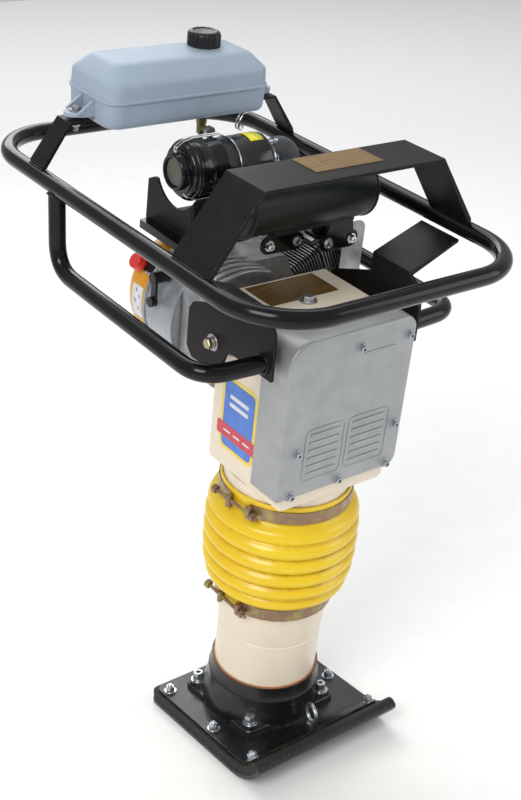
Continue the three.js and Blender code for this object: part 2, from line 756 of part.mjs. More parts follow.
function muffler() {
  const drum = union(
    cylU(MUFFLER_R, MUFFLER_LEFT + 3, MUFFLER_RIGHT - 5, MUFFLER_V, MUFFLER_W, 28),
    cylU(MUFFLER_R - 4, MUFFLER_LEFT, MUFFLER_LEFT + 3.5, MUFFLER_V, MUFFLER_W, 28, MUFFLER_R),
    cylU(MUFFLER_R, MUFFLER_RIGHT - 5.5, MUFFLER_RIGHT, MUFFLER_V, MUFFLER_W, 28, MUFFLER_R - 6),
  );
  const leftPlate = alongV(rounded(-12, 72, 772, 830, 12), 78, 82);
  const rightPlate = alongV(rounded(88, 146, 774, 830, 12), 78, 82);
  const webs = box(-6, 140, 78, 100, 815, 826);
  const pipe = cylW(13, 786, 824, 112, 118, 24);
  const flange = box(92, 134, 100, 136, 782, 788);
  return union(drum, leftPlate, rightPlate, webs, pipe, flange);
}

function carburettor() {
  return union(
    alongW(rounded(100, 136, 200, 246, 8), 722, 764, 2),
    cylW(17, 700, 724, 118, 226, 24),
    cylW(16, 762, 784, 118, 226, 24),
    box(104, 132, 194.5, 202, 726, 760),
  );
}

function intakeElbow() {
  const path = bentPath([
    new THREE.Vector3(103, AIR_V, AIR_W),
    new THREE.Vector3(132, AIR_V, AIR_W),
    new THREE.Vector3(126, 228, 800),
    new THREE.Vector3(118, 226, 784.4),
  ], 18);
  return rod(path, 18, 16, 8).intersect(box(103, 200, 150, 300, 784.4, 900));
}

add('clutch_housing', clutchHousing(), ENGINE_GREY);
add('clutch_rotor', clutchRotor(), STEEL);
add('engine_block', engineBlock(), ENGINE_GREY);
add('engine_cylinder', engineCylinder(), ENGINE_GREY);
add('cylinder_head', cylinderHead(), ENGINE_GREY);
add('rocker_cover', rockerCover(), ENGINE_GREY);
add('spark_plug', sparkPlug(), BLACK);
add('crankshaft', crankshaft(), STEEL);
add('flywheel', flywheel(), STEEL);
add('blower_housing', blowerHousing(), ENGINE_GREY);
add('recoil_cover', recoilCover(), ORANGE);
add('recoil_pulley', recoilPulley(), STEEL);
add('recoil_grip', recoilGrip(), BLACK);
add('stop_switch', stopSwitch(), [0xd0281f, 0.4, 0]);
add('throttle_lever', throttleLever(), BLACK);
add('muffler', muffler(), BLACK);
add('carburettor', carburettor(), ENGINE_GREY);
add('intake_elbow', intakeElbow(), RUBBER);

// ---------------------------------------------------------------- air cleaner
function airBody() {
  const shell = union(
    cylU(44, -44, -24, AIR_V, AIR_W, 24),
    cylU(40, -25, 84, AIR_V, AIR_W, 24),
    cylU(40, 83, 90, AIR_V, AIR_W, 24, 34),
    cylU(20, 89, 102.7, AIR_V, AIR_W, 20),
  );
  return cut(shell, cylU(36.5, -60, 80, AIR_V, AIR_W, 24), cylU(16, 70, 120, AIR_V, AIR_W, 20));
}

function airCap() {
  const shell = union(
    cylU(38, -72, -52, AIR_V, AIR_W, 24, 44),
    cylU(44, -52.5, -44.3, AIR_V, AIR_W, 24),
  );
  return cut(shell, cylU(26, -76, -69, AIR_V, AIR_W, 24), cylU(34, -62, -40, AIR_V, AIR_W, 24));
}

function filterElement() {
  return cut(cylU(32, -58, 76, AIR_V, AIR_W, 24), cylU(18, -60, 80, AIR_V, AIR_W, 20));
}

function airBracket() {
  const wall = alongU(outline([[196, 766], [318, 766], [316, 826], [300, 834], [196, 834]]), -64, -60);
  const cradle = cylU(56, -70, -50, AIR_V, AIR_W, 32);
  const shelf = box(-64, 60, 192, 318, 764, 768);
  const lip = box(-64, -60, 192, 318, 750, 767);
  const saddle = box(-14, 34, 226, 262, 767, 832).subtract(cylU(40 + GAP, -30, 50, AIR_V, AIR_W, 32));
  const legs = box(-30, 40, 196, 256, 749.6, 767);
  const hollow = box(-26, 36, 190, 262, 740, 762);
  return union(cut(wall, cradle), shelf, lip, saddle, cut(legs, hollow));
}

function sideBaffle() {
  return alongV(rounded(138, 180, 700, 803, 14), 94, 96.5);
}

add('air_cleaner_body', airBody(), BLACK);
add('air_cleaner_cap', airCap(), BLACK);
add('filter_element', filterElement(), [0x8a7a55, 0.9, 0]);
add('air_cleaner_bracket', airBracket(), BLACK);
add('side_baffle', sideBaffle(), ENGINE_GREY);

// ---------------------------------------------------------------- handle
function loopTube() {
  const r = 98;
  const centres = [];
  const corners = [
    [LOOP_HALF - r, LOOP_FRONT + r, -90],
    [LOOP_HALF - r, LOOP_REAR - r, 0],
    [-LOOP_HALF + r, LOOP_REAR - r, 90],
    [-LOOP_HALF + r, LOOP_FRONT + r, 180],
  ];
  for (const [u, v, start] of corners) {
    for (let i = 0; i <= 6; i += 1) {
      const a = THREE.MathUtils.degToRad(start + (90 * i) / 6);
      centres.push(new THREE.Vector3(u + r * Math.cos(a), v + r * Math.sin(a), LOOP_W));
    }
  }
  return sweep(centres, 12, TUBE_R, true);
}

function lowerTube(side) {
  const path = bentPath([
    new THREE.Vector3(side * LOOP_HALF, 306, LOOP_W - TUBE_R - 0.8),
    new THREE.Vector3(side * LOOP_HALF, 300, LOW_W),
    new THREE.Vector3(side * LOOP_HALF, -66, LOW_W),
    new THREE.Vector3(side * (PLATE_U + 0.5), -72, LOW_W),
  ], 46);
  const near = PLATE_U + 0.5;
  const [u0, u1] = side > 0 ? [near, 300] : [-300, -near];
  return rod(path, TUBE_R, 26, 7).intersect(box(u0, u1, -120, 400, 600, LOOP_W - TUBE_R - 0.8));
}

function guard() {
  const w = 957;
  const t = 5;
  const foot = LOOP_W + TUBE_R + 0.6;
  const shape = outline([
    [-152, w], [152, w], [226, foot + 4], [226, foot], [219.5, foot], [149.8, w - t], [-149.8, w - t],
    [-219.5, foot], [-226, foot], [-226, foot + 4],
  ]);
  return alongV(shape, -69, 12);
}

function mountPlate(side) {
  const t = 5;
  const face = alongU(outline([
    [-92, 697], [6, 697], [22, 652], [86, 650], [100, 664], [100, 722], [92, 734], [14, 764], [14, 790],
    [-64, 790], [-80, 780], [-89, 766], [-92, 750],
  ]), PLATE_U - t, PLATE_U);
  const wing = alongV(outline([
    [PLATE_U - t, 788], [PLATE_U, 786], [213.5, LOOP_W - TUBE_R - 5], [213.5, LOOP_W - TUBE_R - 0.6],
    [PLATE_U - t, 793.5],
  ]), -64, 14);
  const hole = cylU(7, PLATE_U - 20, PLATE_U + 20, MOUNT_V, MOUNT_W, 12);
  const body = cut(union(face, wing), hole);
  return side > 0 ? body : body.mirror([1, 0, 0]);
}

function rubberMount(side) {
  const a = CASE_HALF + 6 + GAP;
  const b = PLATE_U - 5 - GAP;
  const body = union(
    cylU(26, a, a + 4, MOUNT_V, MOUNT_W, 16),
    cylU(23, a + 3, b - 3, MOUNT_V, MOUNT_W, 16),
    cylU(26, b - 4, b, MOUNT_V, MOUNT_W, 16),
    cylU(6, b - 1, PLATE_U + 2, MOUNT_V, MOUNT_W, 12),
    cylU(16, PLATE_U + GAP, PLATE_U + 2.6, MOUNT_V, MOUNT_W, 16),
    cylU(10.5, PLATE_U + 2.5, PLATE_U + 11, MOUNT_V, MOUNT_W, 6),
  );
  return side > 0 ? body : body.mirror([1, 0, 0]);
}

function tankUpright(side) {
  const t = 4;
  const foot = LOOP_W + TUBE_R + 0.6;
  const shape = outline([
    [228, foot], [222, foot], [183, 917 - t], [148, 917 - t], [148, 917], [185, 917], [228, foot + 5],
  ]);
  const body = cut(alongV(shape, EAR_V - 19, EAR_V + 19), cylW(4.5, 900, 930, 165, EAR_V, 16));
  return side > 0 ? body : body.mirror([1, 0, 0]);
}

add('handle_loop', loopTube(), BLACK);
add('lower_tube_left', lowerTube(-1), BLACK);
add('lower_tube_right', lowerTube(1), BLACK);
add('guard_strap', guard(), BLACK);
add('mount_plate_left', mountPlate(-1), BLACK);
add('mount_plate_right', mountPlate(1), BLACK);
add('rubber_mount_left', rubberMount(-1), RUBBER);
add('rubber_mount_right', rubberMount(1), RUBBER);
add('tank_upright_left', tankUpright(-1), BLACK);
add('tank_upright_right', tankUpright(1), BLACK);

// ---------------------------------------------------------------- fuel
function tankOutline(inset, radius) {
  return rounded(TANK_LEFT + inset, TANK_RIGHT - inset, TANK_FRONT + inset, TANK_REAR - inset, radius);
}

function tankShell() {
  const lower = alongW(tankOutline(0, 24), TANK_BOTTOM, TANK_SEAM + 3, 3);
  const upper = alongW(tankOutline(0, 24), TANK_SEAM, TANK_TOP - 22, 1);
  const seam = alongW(tankOutline(-2.5, 26), TANK_SEAM - 2, TANK_SEAM + 2, 0.8);
  const crown = alongW(tankOutline(24, 12), TANK_TOP - 10, TANK_TOP);
  const hull = wasm.Manifold.hull([upper, crown]);
  const ears = alongW(rounded(-185, 185, EAR_V - 19, EAR_V + 19, 18), 921.3, 928);
  const holes = [-1, 1].map((s) => cylW(4.5, 900, 940, s * 165, EAR_V, 16));
  const neck = cylW(20, TANK_TOP - 4, TANK_TOP + 6, CAP_U, CAP_V, 20);
  const body = union(cut(ears, ...holes), lower, hull, seam, neck);
  const room = union(
    alongW(tankOutline(4, 20), TANK_BOTTOM + 4, TANK_TOP - 26),
    cylW(16, TANK_TOP - 34, TANK_TOP + 10, CAP_U, CAP_V, 20),
  );
  const outlet = cylW(3.5, TANK_BOTTOM - 5, TANK_BOTTOM + 8, COCK_U, COCK_V, 14);
  return cut(body, room, outlet);
}

function tankCap() {
  let body = union(
    cylW(CAP_R, TANK_TOP + GAP, TANK_TOP + 18, CAP_U, CAP_V, 28),
    cylW(CAP_R, TANK_TOP + 17.5, TANK_TOP + 23, CAP_U, CAP_V, 28, CAP_R - 5),
  );
  body = body.subtract(cylW(21, TANK_TOP - 2, TANK_TOP + 8, CAP_U, CAP_V, 20));
  for (let i = 0; i < 12; i += 1) {
    const a = (i * Math.PI) / 6;
    const u = CAP_U + (CAP_R + 1.4) * Math.cos(a);
    const v = CAP_V + (CAP_R + 1.4) * Math.sin(a);
    body = body.subtract(cylW(3, TANK_TOP + 4, TANK_TOP + 40, u, v, 6));
  }
  return body;
}

function fuelCock() {
  return union(
    cylW(3.2, COCK_W, TANK_BOTTOM + 5, COCK_U, COCK_V, 14),
    cylW(8, COCK_W + 6, TANK_BOTTOM - GAP, COCK_U, COCK_V, 6),
    cylW(7, COCK_W - 9, COCK_W + 7, COCK_U, COCK_V, 18),
    cylV(5, COCK_V - 18, COCK_V, COCK_U, COCK_W, 14),
    cylW(4, COCK_W - 22, COCK_W - 8, COCK_U, COCK_V, 14),
  );
}

function fuelLever() {
  return union(
    cylV(8, COCK_V - 26, COCK_V - 18.4, COCK_U, COCK_W, 16),
    box(COCK_U - 4, COCK_U + 4, COCK_V - 26, COCK_V - 21, COCK_W - 20, COCK_W),
  );
}

function fuelHose() {
  const start = COCK_W - 22.4;
  const path = new THREE.CatmullRomCurve3([
    new THREE.Vector3(COCK_U, COCK_V, start),
    new THREE.Vector3(COCK_U, COCK_V + 1, start - 22),
    new THREE.Vector3(54, 316, 826),
    new THREE.Vector3(118, 312, 800),
    new THREE.Vector3(158, 286, 772),
    new THREE.Vector3(156, 248, 747),
    new THREE.Vector3(136.4, 226, 742),
  ]);
  return rod(path, 4.5, 26, 5).intersect(box(0, 300, 200, 340, 700, start)).subtract(
    box(90, 136.4, 190, 260, 700, 790),
  );
}

add('fuel_tank', tankShell(), TANK_BLUE);
add('tank_cap', tankCap(), BLACK);
add('fuel_cock', fuelCock(), [0xb9a05c, 0.35, 0.85]);
add('fuel_lever', fuelLever(), STEEL);
add('fuel_hose', fuelHose(), RUBBER);

export default group;
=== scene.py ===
"""Looks of the tamping rammer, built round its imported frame.

Pieces are drawn in millimetres in the leaning frame of the leg (u across, v backwards,
w along the leg) and turned into the row frame, in metres, when they are made.
"""

from math import asin, atan2, copysign, cos, degrees, hypot, pi, radians, sin, sqrt, tan

import bmesh
import bpy
from mathutils import Matrix, Vector


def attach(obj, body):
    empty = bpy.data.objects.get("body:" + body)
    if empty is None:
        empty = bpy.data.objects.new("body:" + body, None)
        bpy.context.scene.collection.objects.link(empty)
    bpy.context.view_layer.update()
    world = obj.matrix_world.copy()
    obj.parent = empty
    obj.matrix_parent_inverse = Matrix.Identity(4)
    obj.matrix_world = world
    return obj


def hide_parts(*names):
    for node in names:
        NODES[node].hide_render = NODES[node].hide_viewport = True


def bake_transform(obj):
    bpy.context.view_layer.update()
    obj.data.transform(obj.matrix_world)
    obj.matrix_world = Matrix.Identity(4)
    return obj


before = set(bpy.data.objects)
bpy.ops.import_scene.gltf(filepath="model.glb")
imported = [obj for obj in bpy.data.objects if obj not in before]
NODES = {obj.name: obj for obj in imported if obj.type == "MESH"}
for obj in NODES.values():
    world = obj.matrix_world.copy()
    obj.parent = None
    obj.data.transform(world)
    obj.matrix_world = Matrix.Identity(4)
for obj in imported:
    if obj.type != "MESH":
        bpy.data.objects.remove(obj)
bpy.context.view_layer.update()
LOOKS = {}
LEAN = Matrix.Rotation(radians(8), 4, "X")
TAU = 2 * pi
MM = 0.001
SIDES = ((-1, "left"), (1, "right"))

# ---- driving places and sizes
TOE_V, TOE_R = -110, 62  # where the sole starts to turn up, and its radius
COVER_HALF, COVER_LOW, COVER_HIGH, COVER_V = 112, 505.5, 752, -108
CASE_TOP = 749
CRANK_W = 645
STARTER_V, STARTER_R = 262.3, 93
MUFFLER_AT = (0, 100, 860)
MUFFLER_BOLTS = ((-15.8, 802), (34.7, 800.5), (94.4, 786.5), (138.7, 786.4))
AIR_AT = (0, 244, 861)
MOUNT_V, MOUNT_W = 38, 696
BAR_R, BAR_U = 12.7, 225
LOOP_W, LOW_BAR_W = 840, 716
TANK_U, TANK_V = -3, 363
TANK_BOLT_U, TANK_BOLT_V = 165, 360
FUEL_CAP_AT = (60, 372, 0)

# the camera fitted to the photo, before its small roll
CAMERA_AT = (-1.0947, -1.4241, 1.3366)
CAMERA_RIGHT = Vector((0.7933, -0.6088, 0.0))
CAMERA_UP = Vector((0.2433, 0.3170, 0.9167))
CAMERA_ROLL = radians(0.52)
CAMERA_LENS = 58.64

# name, place, aim, size, power, tint
LIGHTS = (
    ("key", (-2.6, -1.5, 2.9), (0, 0, 0.6), (1.7, 1.7), 74, (1.0, 0.985, 0.96)),
    ("fill", (2.4, -2.2, 1.5), (0, 0, 0.5), (1.6, 2.0), 20, (0.95, 0.98, 1.0)),
    ("back", (0.8, 2.6, 2.4), (0, 0.1, 0.8), (2.0, 1.2), 26, (1, 1, 1)),
    ("far", (1.8, 4.4, 6.5), (1.8, 4.5, 0.0), (6.0, 6.0), 250, (1, 1, 1)),
)
FLOOR_HALF, FLOOR_Z = 9, -0.0006


# ---- camera, floor, lights
def add_object(name, data):
    obj = bpy.data.objects.new(name, data)
    bpy.context.scene.collection.objects.link(obj)
    return obj


def make_camera():
    c, s = cos(CAMERA_ROLL), sin(CAMERA_ROLL)
    right = (CAMERA_RIGHT * c + CAMERA_UP * s).normalized()
    up = (CAMERA_UP * c - CAMERA_RIGHT * s).normalized()
    data = bpy.data.cameras.new("camera")
    data.sensor_width = 36
    data.lens = CAMERA_LENS
    data.clip_start = 0.05
    data.clip_end = 40
    cam = add_object("camera", data)
    turn = Matrix((right, up, right.cross(up))).transposed().to_4x4()
    cam.matrix_world = Matrix.Translation(CAMERA_AT) @ turn
    bpy.context.scene.camera = cam


def make_lights():
    scene = bpy.context.scene
    scene.view_settings.view_transform = "Standard"
    world = bpy.data.worlds.new("studio")
    world.use_nodes = True
    sky = world.node_tree.nodes["Background"]
    sky.inputs["Color"].default_value = (0.97, 0.985, 1.0, 1)
    sky.inputs["Strength"].default_value = 0.5
    scene.world = world
    for name, at, aim, size, power, tint in LIGHTS:
        data = bpy.data.lights.new(name, "AREA")
        data.shape = "RECTANGLE"
        data.size, data.size_y = size
        data.energy = power
        data.color = tint
        lamp = add_object(name, data)
        lamp.location = at
        lamp.rotation_mode = "QUATERNION"
        lamp.rotation_quaternion = (Vector(aim) - Vector(at)).to_track_quat("-Z", "Y")


def make_floor():
    bm = bmesh.new()
    for x, y in ((-1, -1), (1, -1), (1, 1), (-1, 1)):
        bm.verts.new((x * FLOOR_HALF, y * FLOOR_HALF, FLOOR_Z))
    bm.faces.new(bm.verts)
    mesh = bpy.data.meshes.new("floor")
    bm.to_mesh(mesh)
    bm.free()
    floor = add_object("floor", mesh)
    coated("floor_paint", (0.92, 0.92, 0.92), (0.90, 0.90, 0.90), 0.8, shine=0.2)
    mesh.materials.append(LOOKS["floor_paint"])


# ---- materials
class Look:
    """A material's node tree under construction."""

    def __init__(self, name):
        self.mat = bpy.data.materials.new(name)
        LOOKS[name] = self.mat
        self.mat.use_nodes = True
        self.tree = self.mat.node_tree
        self.tree.nodes.clear()
        self.shader = self.tree.nodes.new("ShaderNodeBsdfPrincipled")
        out = self.tree.nodes.new("ShaderNodeOutputMaterial")
        self.tree.links.new(self.shader.outputs[0], out.inputs["Surface"])
        self.where = self.tree.nodes.new("ShaderNodeTexCoord").outputs["Object"]

    def node(self, kind, settings=None, **inputs):
        made = self.tree.nodes.new(kind)
        for key, value in (settings or {}).items():
            setattr(made, key, value)
        for key, value in inputs.items():
            self.feed(made.inputs[key.replace("_", " ")], value)
        return made

    def feed(self, socket, value):
        if isinstance(value, bpy.types.NodeSocket):
            self.tree.links.new(value, socket)
        elif hasattr(value, "__len__") and len(value) == 3 and socket.type == "RGBA":
            socket.default_value = (*value, 1)
        else:
            socket.default_value = value

    def spots(self, scale, detail=4.0, rough=0.55, stretch=None):
        where = self.where
        if stretch:
            mapping = self.node("ShaderNodeMapping", Vector=where, Scale=stretch)
            where = mapping.outputs[0]
        made = self.node("ShaderNodeTexNoise", Vector=where, Scale=scale, Detail=detail, Roughness=rough)
        return made.outputs["Fac"]

    def span(self, value, low, high, to_low=0.0, to_high=1.0):
        made = self.node("ShaderNodeMapRange", Value=value)
        for key, number in (("From Min", low), ("From Max", high), ("To Min", to_low), ("To Max", to_high)):
            made.inputs[key].default_value = number
        return made.outputs[0]

    def times(self, a, b, operation="MULTIPLY"):
        made = self.node("ShaderNodeMath", {"operation": operation, "use_clamp": True})
        self.feed(made.inputs[0], a)
        self.feed(made.inputs[1], b)
        return made.outputs[0]

    def blend(self, share, a, b):
        made = self.node("ShaderNodeMix", {"data_type": "RGBA"})
        self.feed(made.inputs[0], share)
        self.feed(made.inputs[6], a)
        self.feed(made.inputs[7], b)
        return made.outputs[2]

    def edge(self, radius):
        """1 on outer edges, 0 on flat faces."""
        soft = self.node("ShaderNodeBevel", {"samples": 4}, Radius=radius)
        flat = self.node("ShaderNodeNewGeometry")
        dot = self.node("ShaderNodeVectorMath", {"operation": "DOT_PRODUCT"})
        self.tree.links.new(soft.outputs[0], dot.inputs[0])
        self.tree.links.new(flat.outputs["Normal"], dot.inputs[1])
        return self.span(dot.outputs["Value"], 0.995, 0.9)

    def corner_shade(self, distance):
        """Ambient occlusion: 1 deep in corners, where shade falls, 0 in the open."""
        made = self.node("ShaderNodeAmbientOcclusion", {"samples": 5}, Distance=distance)
        return self.span(made.outputs["AO"], 0.75, 0.3)

    def bump(self, height, strength, depth=0.0006):
        made = self.node("ShaderNodeBump", Height=height, Strength=strength, Distance=depth)
        self.tree.links.new(made.outputs[0], self.shader.inputs["Normal"])

    def set(self, **inputs):
        for key, value in inputs.items():
            self.feed(self.shader.inputs[key.replace("_", " ")], value)


def coated(name, base, second, rough, mottle=14.0, grain=500.0, bump=0.1, metal=0.0, coat=0.0,
           depth=0.0005, swing=0.12, chips=None, dirt_and_shade=None, sheen=0.0, shine=0.5):
    """Paint, plastic, casting or plate: mottled colour, fine grain, worn edges, a tone in corners.

    chips is (colour, edge width, how much), and dirt_and_shade is (colour, reach, how much). The tone goes
    where
    ambient occlusion finds corners: painted shade where it is darker than the surface, dust where it is
    lighter.
    """
    look = Look(name)
    broad = look.spots(mottle, 5.0, 0.6)
    fine = look.spots(grain, 3.0, 0.6)
    colour = look.blend(look.span(broad, 0.38, 0.66), base, second)
    rough_now = look.span(broad, 0.3, 0.7, rough - swing / 2, rough + swing / 2)
    # Painted shade: a darker colour is laid into corners found by ambient occlusion; a lighter colour there
    # is dust.
    if dirt_and_shade:
        tone, reach, much = dirt_and_shade
        share = look.times(look.corner_shade(reach), look.span(look.spots(60, 5.0), 0.3, 0.65))
        share = look.times(share, much)
        colour = look.blend(share, colour, tone)
        rough_now = look.times(rough_now, look.times(share, 0.3), "ADD")
    if chips:
        tone, width, much = chips
        worn = look.times(look.edge(width), look.span(look.spots(120, 6.0, 0.7), 0.62 - 0.2 * much, 0.66))
        colour = look.blend(worn, colour, tone)
    look.set(Base_Color=colour, Roughness=rough_now, Metallic=metal, Coat_Weight=coat, Coat_Roughness=0.12,
             Sheen_Weight=sheen, Specular_IOR_Level=shine)
    look.bump(fine, bump, depth)


def iridescent(name):
    """Yellow-passivated zinc: gold, olive and plum patches on bright metal."""
    look = Look(name)
    broad = look.spots(38, 5.0, 0.6)
    ramp = look.node("ShaderNodeValToRGB", Fac=broad)
    stops = ramp.color_ramp.elements
    stops[0].position, stops[0].color = 0.3, (0.30, 0.25, 0.09, 1)
    stops[1].position, stops[1].color = 0.72, (0.40, 0.34, 0.15, 1)
    for at, r, g, b in ((0.42, 0.34, 0.22, 0.13), (0.52, 0.28, 0.18, 0.13), (0.62, 0.37, 0.30, 0.12)):
        stops.new(at).color = (r, g, b, 1)
    rough = look.span(look.spots(90), 0.3, 0.7, 0.26, 0.44)
    look.set(Base_Color=ramp.outputs["Color"], Metallic=0.75, Roughness=rough)
    look.bump(look.spots(420, 3.0), 0.08)


def brushed_plate(name, light, dark):
    """Anodised name plate: long fine streaks across a bronze ground."""
    look = Look(name)
    streak = look.spots(60, 6.0, 0.7, (0.5, 9.0, 9.0))
    patch = look.spots(22, 3.0)
    share = look.times(look.span(streak, 0.3, 0.7), look.span(patch, 0.2, 0.8, 0.5, 1.0))
    rough = look.span(streak, 0.3, 0.7, 0.3, 0.5)
    look.set(Base_Color=look.blend(share, dark, light), Metallic=0.3, Specular_IOR_Level=0.3, Roughness=rough)
    look.bump(streak, 0.08, 0.0003)


DUST = (0.20, 0.18, 0.15)


def make_blacks():
    coated("gloss_black", (0.004, 0.004, 0.005), (0.008, 0.008, 0.008), 0.15, 9, 260, 0.10, coat=0.06,
           depth=0.0004, chips=((0.10, 0.095, 0.09), 0.0012, 0.4), dirt_and_shade=(DUST, 0.012, 0.12), shine=0.24)
    coated("sheet_black", (0.010, 0.009, 0.0085), (0.016, 0.0145, 0.0135), 0.42, 16, 700, 0.14,
           chips=((0.16, 0.14, 0.12), 0.0013, 0.7), dirt_and_shade=(DUST, 0.012, 0.14), shine=0.12)
    coated("cast_black", (0.006, 0.0065, 0.007), (0.013, 0.0135, 0.0135), 0.3, 22, 240, 0.35, coat=0.2,
           depth=0.0009, chips=((0.13, 0.12, 0.11), 0.0016, 0.8), dirt_and_shade=(DUST, 0.014, 0.4), shine=0.35)
    coated("muffler_black", (0.006, 0.011, 0.009), (0.014, 0.017, 0.013), 0.38, 14, 500, 0.2,
           chips=((0.10, 0.07, 0.045), 0.0014, 0.5), dirt_and_shade=((0.09, 0.07, 0.05), 0.012, 0.3), shine=0.28)


def make_paints():
    # The corner tones of cream, silver, shroud_grey and orange are darker than their paint: painted shade in
    # corners.
    coated("cream", (0.84, 0.735, 0.585), (0.81, 0.70, 0.55), 0.36, 10, 320, 0.09, coat=0.25,
           chips=((0.52, 0.42, 0.33), 0.001, 0.3), dirt_and_shade=((0.42, 0.33, 0.23), 0.012, 0.35))
    coated("silver", (0.33, 0.34, 0.345), (0.39, 0.40, 0.405), 0.40, 30, 900, 0.22, metal=0.35, coat=0.15,
           chips=((0.62, 0.62, 0.62), 0.0012, 0.4), dirt_and_shade=((0.16, 0.155, 0.15), 0.006, 0.6))
    coated("shroud_grey", (0.35, 0.38, 0.41), (0.29, 0.31, 0.33), 0.26, 16, 400, metal=0.3, coat=0.4,
           dirt_and_shade=((0.08, 0.08, 0.08), 0.01, 0.6))
    coated("orange", (0.80, 0.37, 0.014), (0.72, 0.31, 0.012), 0.3, 18, 300, 0.08, coat=0.4,
           chips=((0.3, 0.18, 0.08), 0.001, 0.3), dirt_and_shade=((0.3, 0.15, 0.03), 0.01, 0.5))
    coated("red", (0.78, 0.035, 0.02), (0.68, 0.025, 0.015), 0.34, 60, 600, 0.05, coat=0.3)
    coated("seam_rust", (0.46, 0.17, 0.05), (0.3, 0.12, 0.05), 0.6, 120, 700, 0.3)


def make_metals():
    iridescent("zinc")
    # The corner tones of bright_zinc, steel and brass are darker than their metal: painted shade in corners.
    coated("bright_zinc", (0.40, 0.43, 0.46), (0.50, 0.53, 0.56), 0.26, 60, 700, metal=0.9, depth=0.0003,
           dirt_and_shade=((0.22, 0.21, 0.2), 0.004, 0.6))
    coated("gold_bolt", (0.44, 0.38, 0.24), (0.38, 0.34, 0.24), 0.3, 70, 700, metal=0.85, depth=0.0003)
    coated("steel", (0.42, 0.42, 0.43), (0.34, 0.34, 0.35), 0.34, 40, 600, 0.12, metal=0.9,
           dirt_and_shade=((0.1, 0.09, 0.08), 0.008, 0.5))
    # The near-black corner tone of cast_alloy is painted shade in the fins and recesses of the engine.
    coated("cast_alloy", (0.40, 0.405, 0.41), (0.24, 0.245, 0.25), 0.36, 34, 700, 0.38, metal=0.7,
           depth=0.0006, chips=((0.6, 0.6, 0.6), 0.0012, 0.5), dirt_and_shade=((0.05, 0.05, 0.05), 0.01, 0.85))
    coated("brass", (0.24, 0.21, 0.08), (0.16, 0.15, 0.08), 0.32, 60, 600, 0.15, metal=0.85,
           dirt_and_shade=((0.12, 0.09, 0.04), 0.005, 0.6))
    coated("chrome", (0.72, 0.73, 0.74), (0.62, 0.62, 0.62), 0.14, 80, 500, 0.03, metal=1.0)
    brushed_plate("plate_bronze", (0.30, 0.165, 0.030), (0.105, 0.055, 0.008))
    brushed_plate("plate_gold", (0.31, 0.19, 0.055), (0.17, 0.10, 0.028))


def make_plastics():
    coated("pad", (0.013, 0.012, 0.011), (0.024, 0.022, 0.020), 0.62, 30, 420, 0.4, depth=0.0008,
           chips=((0.11, 0.10, 0.085), 0.002, 0.8), dirt_and_shade=(DUST, 0.01, 0.4), shine=0.3)
    # The dark orange corner tone of the yellow rubber is painted shade in the bellows' troughs.
    coated("yellow_rubber", (0.86, 0.61, 0.010), (0.82, 0.55, 0.008), 0.30, 8, 180, 0.06, coat=0.25,
           dirt_and_shade=((0.42, 0.22, 0.01), 0.022, 1.0), swing=0.1)
    coated("black_plastic", (0.006, 0.006, 0.007), (0.011, 0.011, 0.012), 0.4, 40, 900, 0.25, depth=0.0004,
           dirt_and_shade=(DUST, 0.008, 0.25), shine=0.35)
    coated("black_gloss_plastic", (0.003, 0.003, 0.004), (0.006, 0.006, 0.007), 0.16, 20, 300, 0.04,
           coat=0.15, dirt_and_shade=(DUST, 0.006, 0.15), shine=0.4)
    coated("black_rubber", (0.030, 0.032, 0.035), (0.045, 0.046, 0.048), 0.6, 40, 800, 0.25,
           dirt_and_shade=(DUST, 0.008, 0.4), sheen=0.1)
    coated("end_disc", (0.085, 0.075, 0.065), (0.12, 0.105, 0.09), 0.5, 50, 500, 0.15)
    coated("foam", (0.30, 0.25, 0.14), (0.24, 0.2, 0.11), 0.9, 80, 900, 0.8, depth=0.001)
    # The grey corner tone of the tank is darker than its blue: painted shade in corners.
    coated("tank_blue", (0.345, 0.42, 0.515), (0.32, 0.385, 0.47), 0.48, 7, 420, 0.12,
           dirt_and_shade=((0.24, 0.25, 0.26), 0.01, 0.45), shine=0.2)
    coated("hose_clear", (0.62, 0.60, 0.52), (0.52, 0.49, 0.40), 0.22, 30, 400, 0.04, coat=0.5)


def make_prints():
    """Inks and stickers: name, colour, second colour, roughness, coat, size of the mottling."""
    for name, base, second, rough, coat, mottle in (
            ("print_blue", (0.045, 0.16, 0.62), (0.07, 0.23, 0.70), 0.38, 0.3, 30),
            ("print_yellow", (0.90, 0.68, 0.05), (0.85, 0.60, 0.04), 0.38, 0.3, 30),
            ("print_red", (0.66, 0.035, 0.06), (0.58, 0.03, 0.05), 0.38, 0.3, 30),
            ("print_black", (0.02, 0.02, 0.02), (0.035, 0.035, 0.035), 0.4, 0.3, 30),
            ("print_white", (0.80, 0.80, 0.82), (0.74, 0.74, 0.77), 0.42, 0.2, 40),
            ("sticker_yellow", (0.82, 0.78, 0.02), (0.76, 0.70, 0.02), 0.4, 0.3, 40)):
        coated(name, base, second, rough, mottle, 500, 0.03, coat=coat)
    coated("plate_dark", (0.03, 0.018, 0.010), (0.045, 0.026, 0.014), 0.5, 90, 700)


# ---- shapes, drawn in millimetres
def axis_w(u=0.0, v=0.0, w=0.0):
    """A piece drawn about its own Z is put along w, with its origin at this point."""
    return Matrix.Translation((u, v, w))


def axis_u(*at):
    return axis_w(*at) @ Matrix.Rotation(radians(90), 4, "Y")


def axis_v(*at):
    return axis_w(*at) @ Matrix.Rotation(radians(-90), 4, "X")


def axis_front(*at):
    """A flat drawing (x across, y up, z out) stands on a front face."""
    return axis_w(*at) @ Matrix.Rotation(radians(90), 4, "X")


def on_side(side, matrix):
    """A place on the right stays for side 1, and is mirrored for side -1."""
    return Matrix.Diagonal((side, 1, 1, 1)) @ matrix


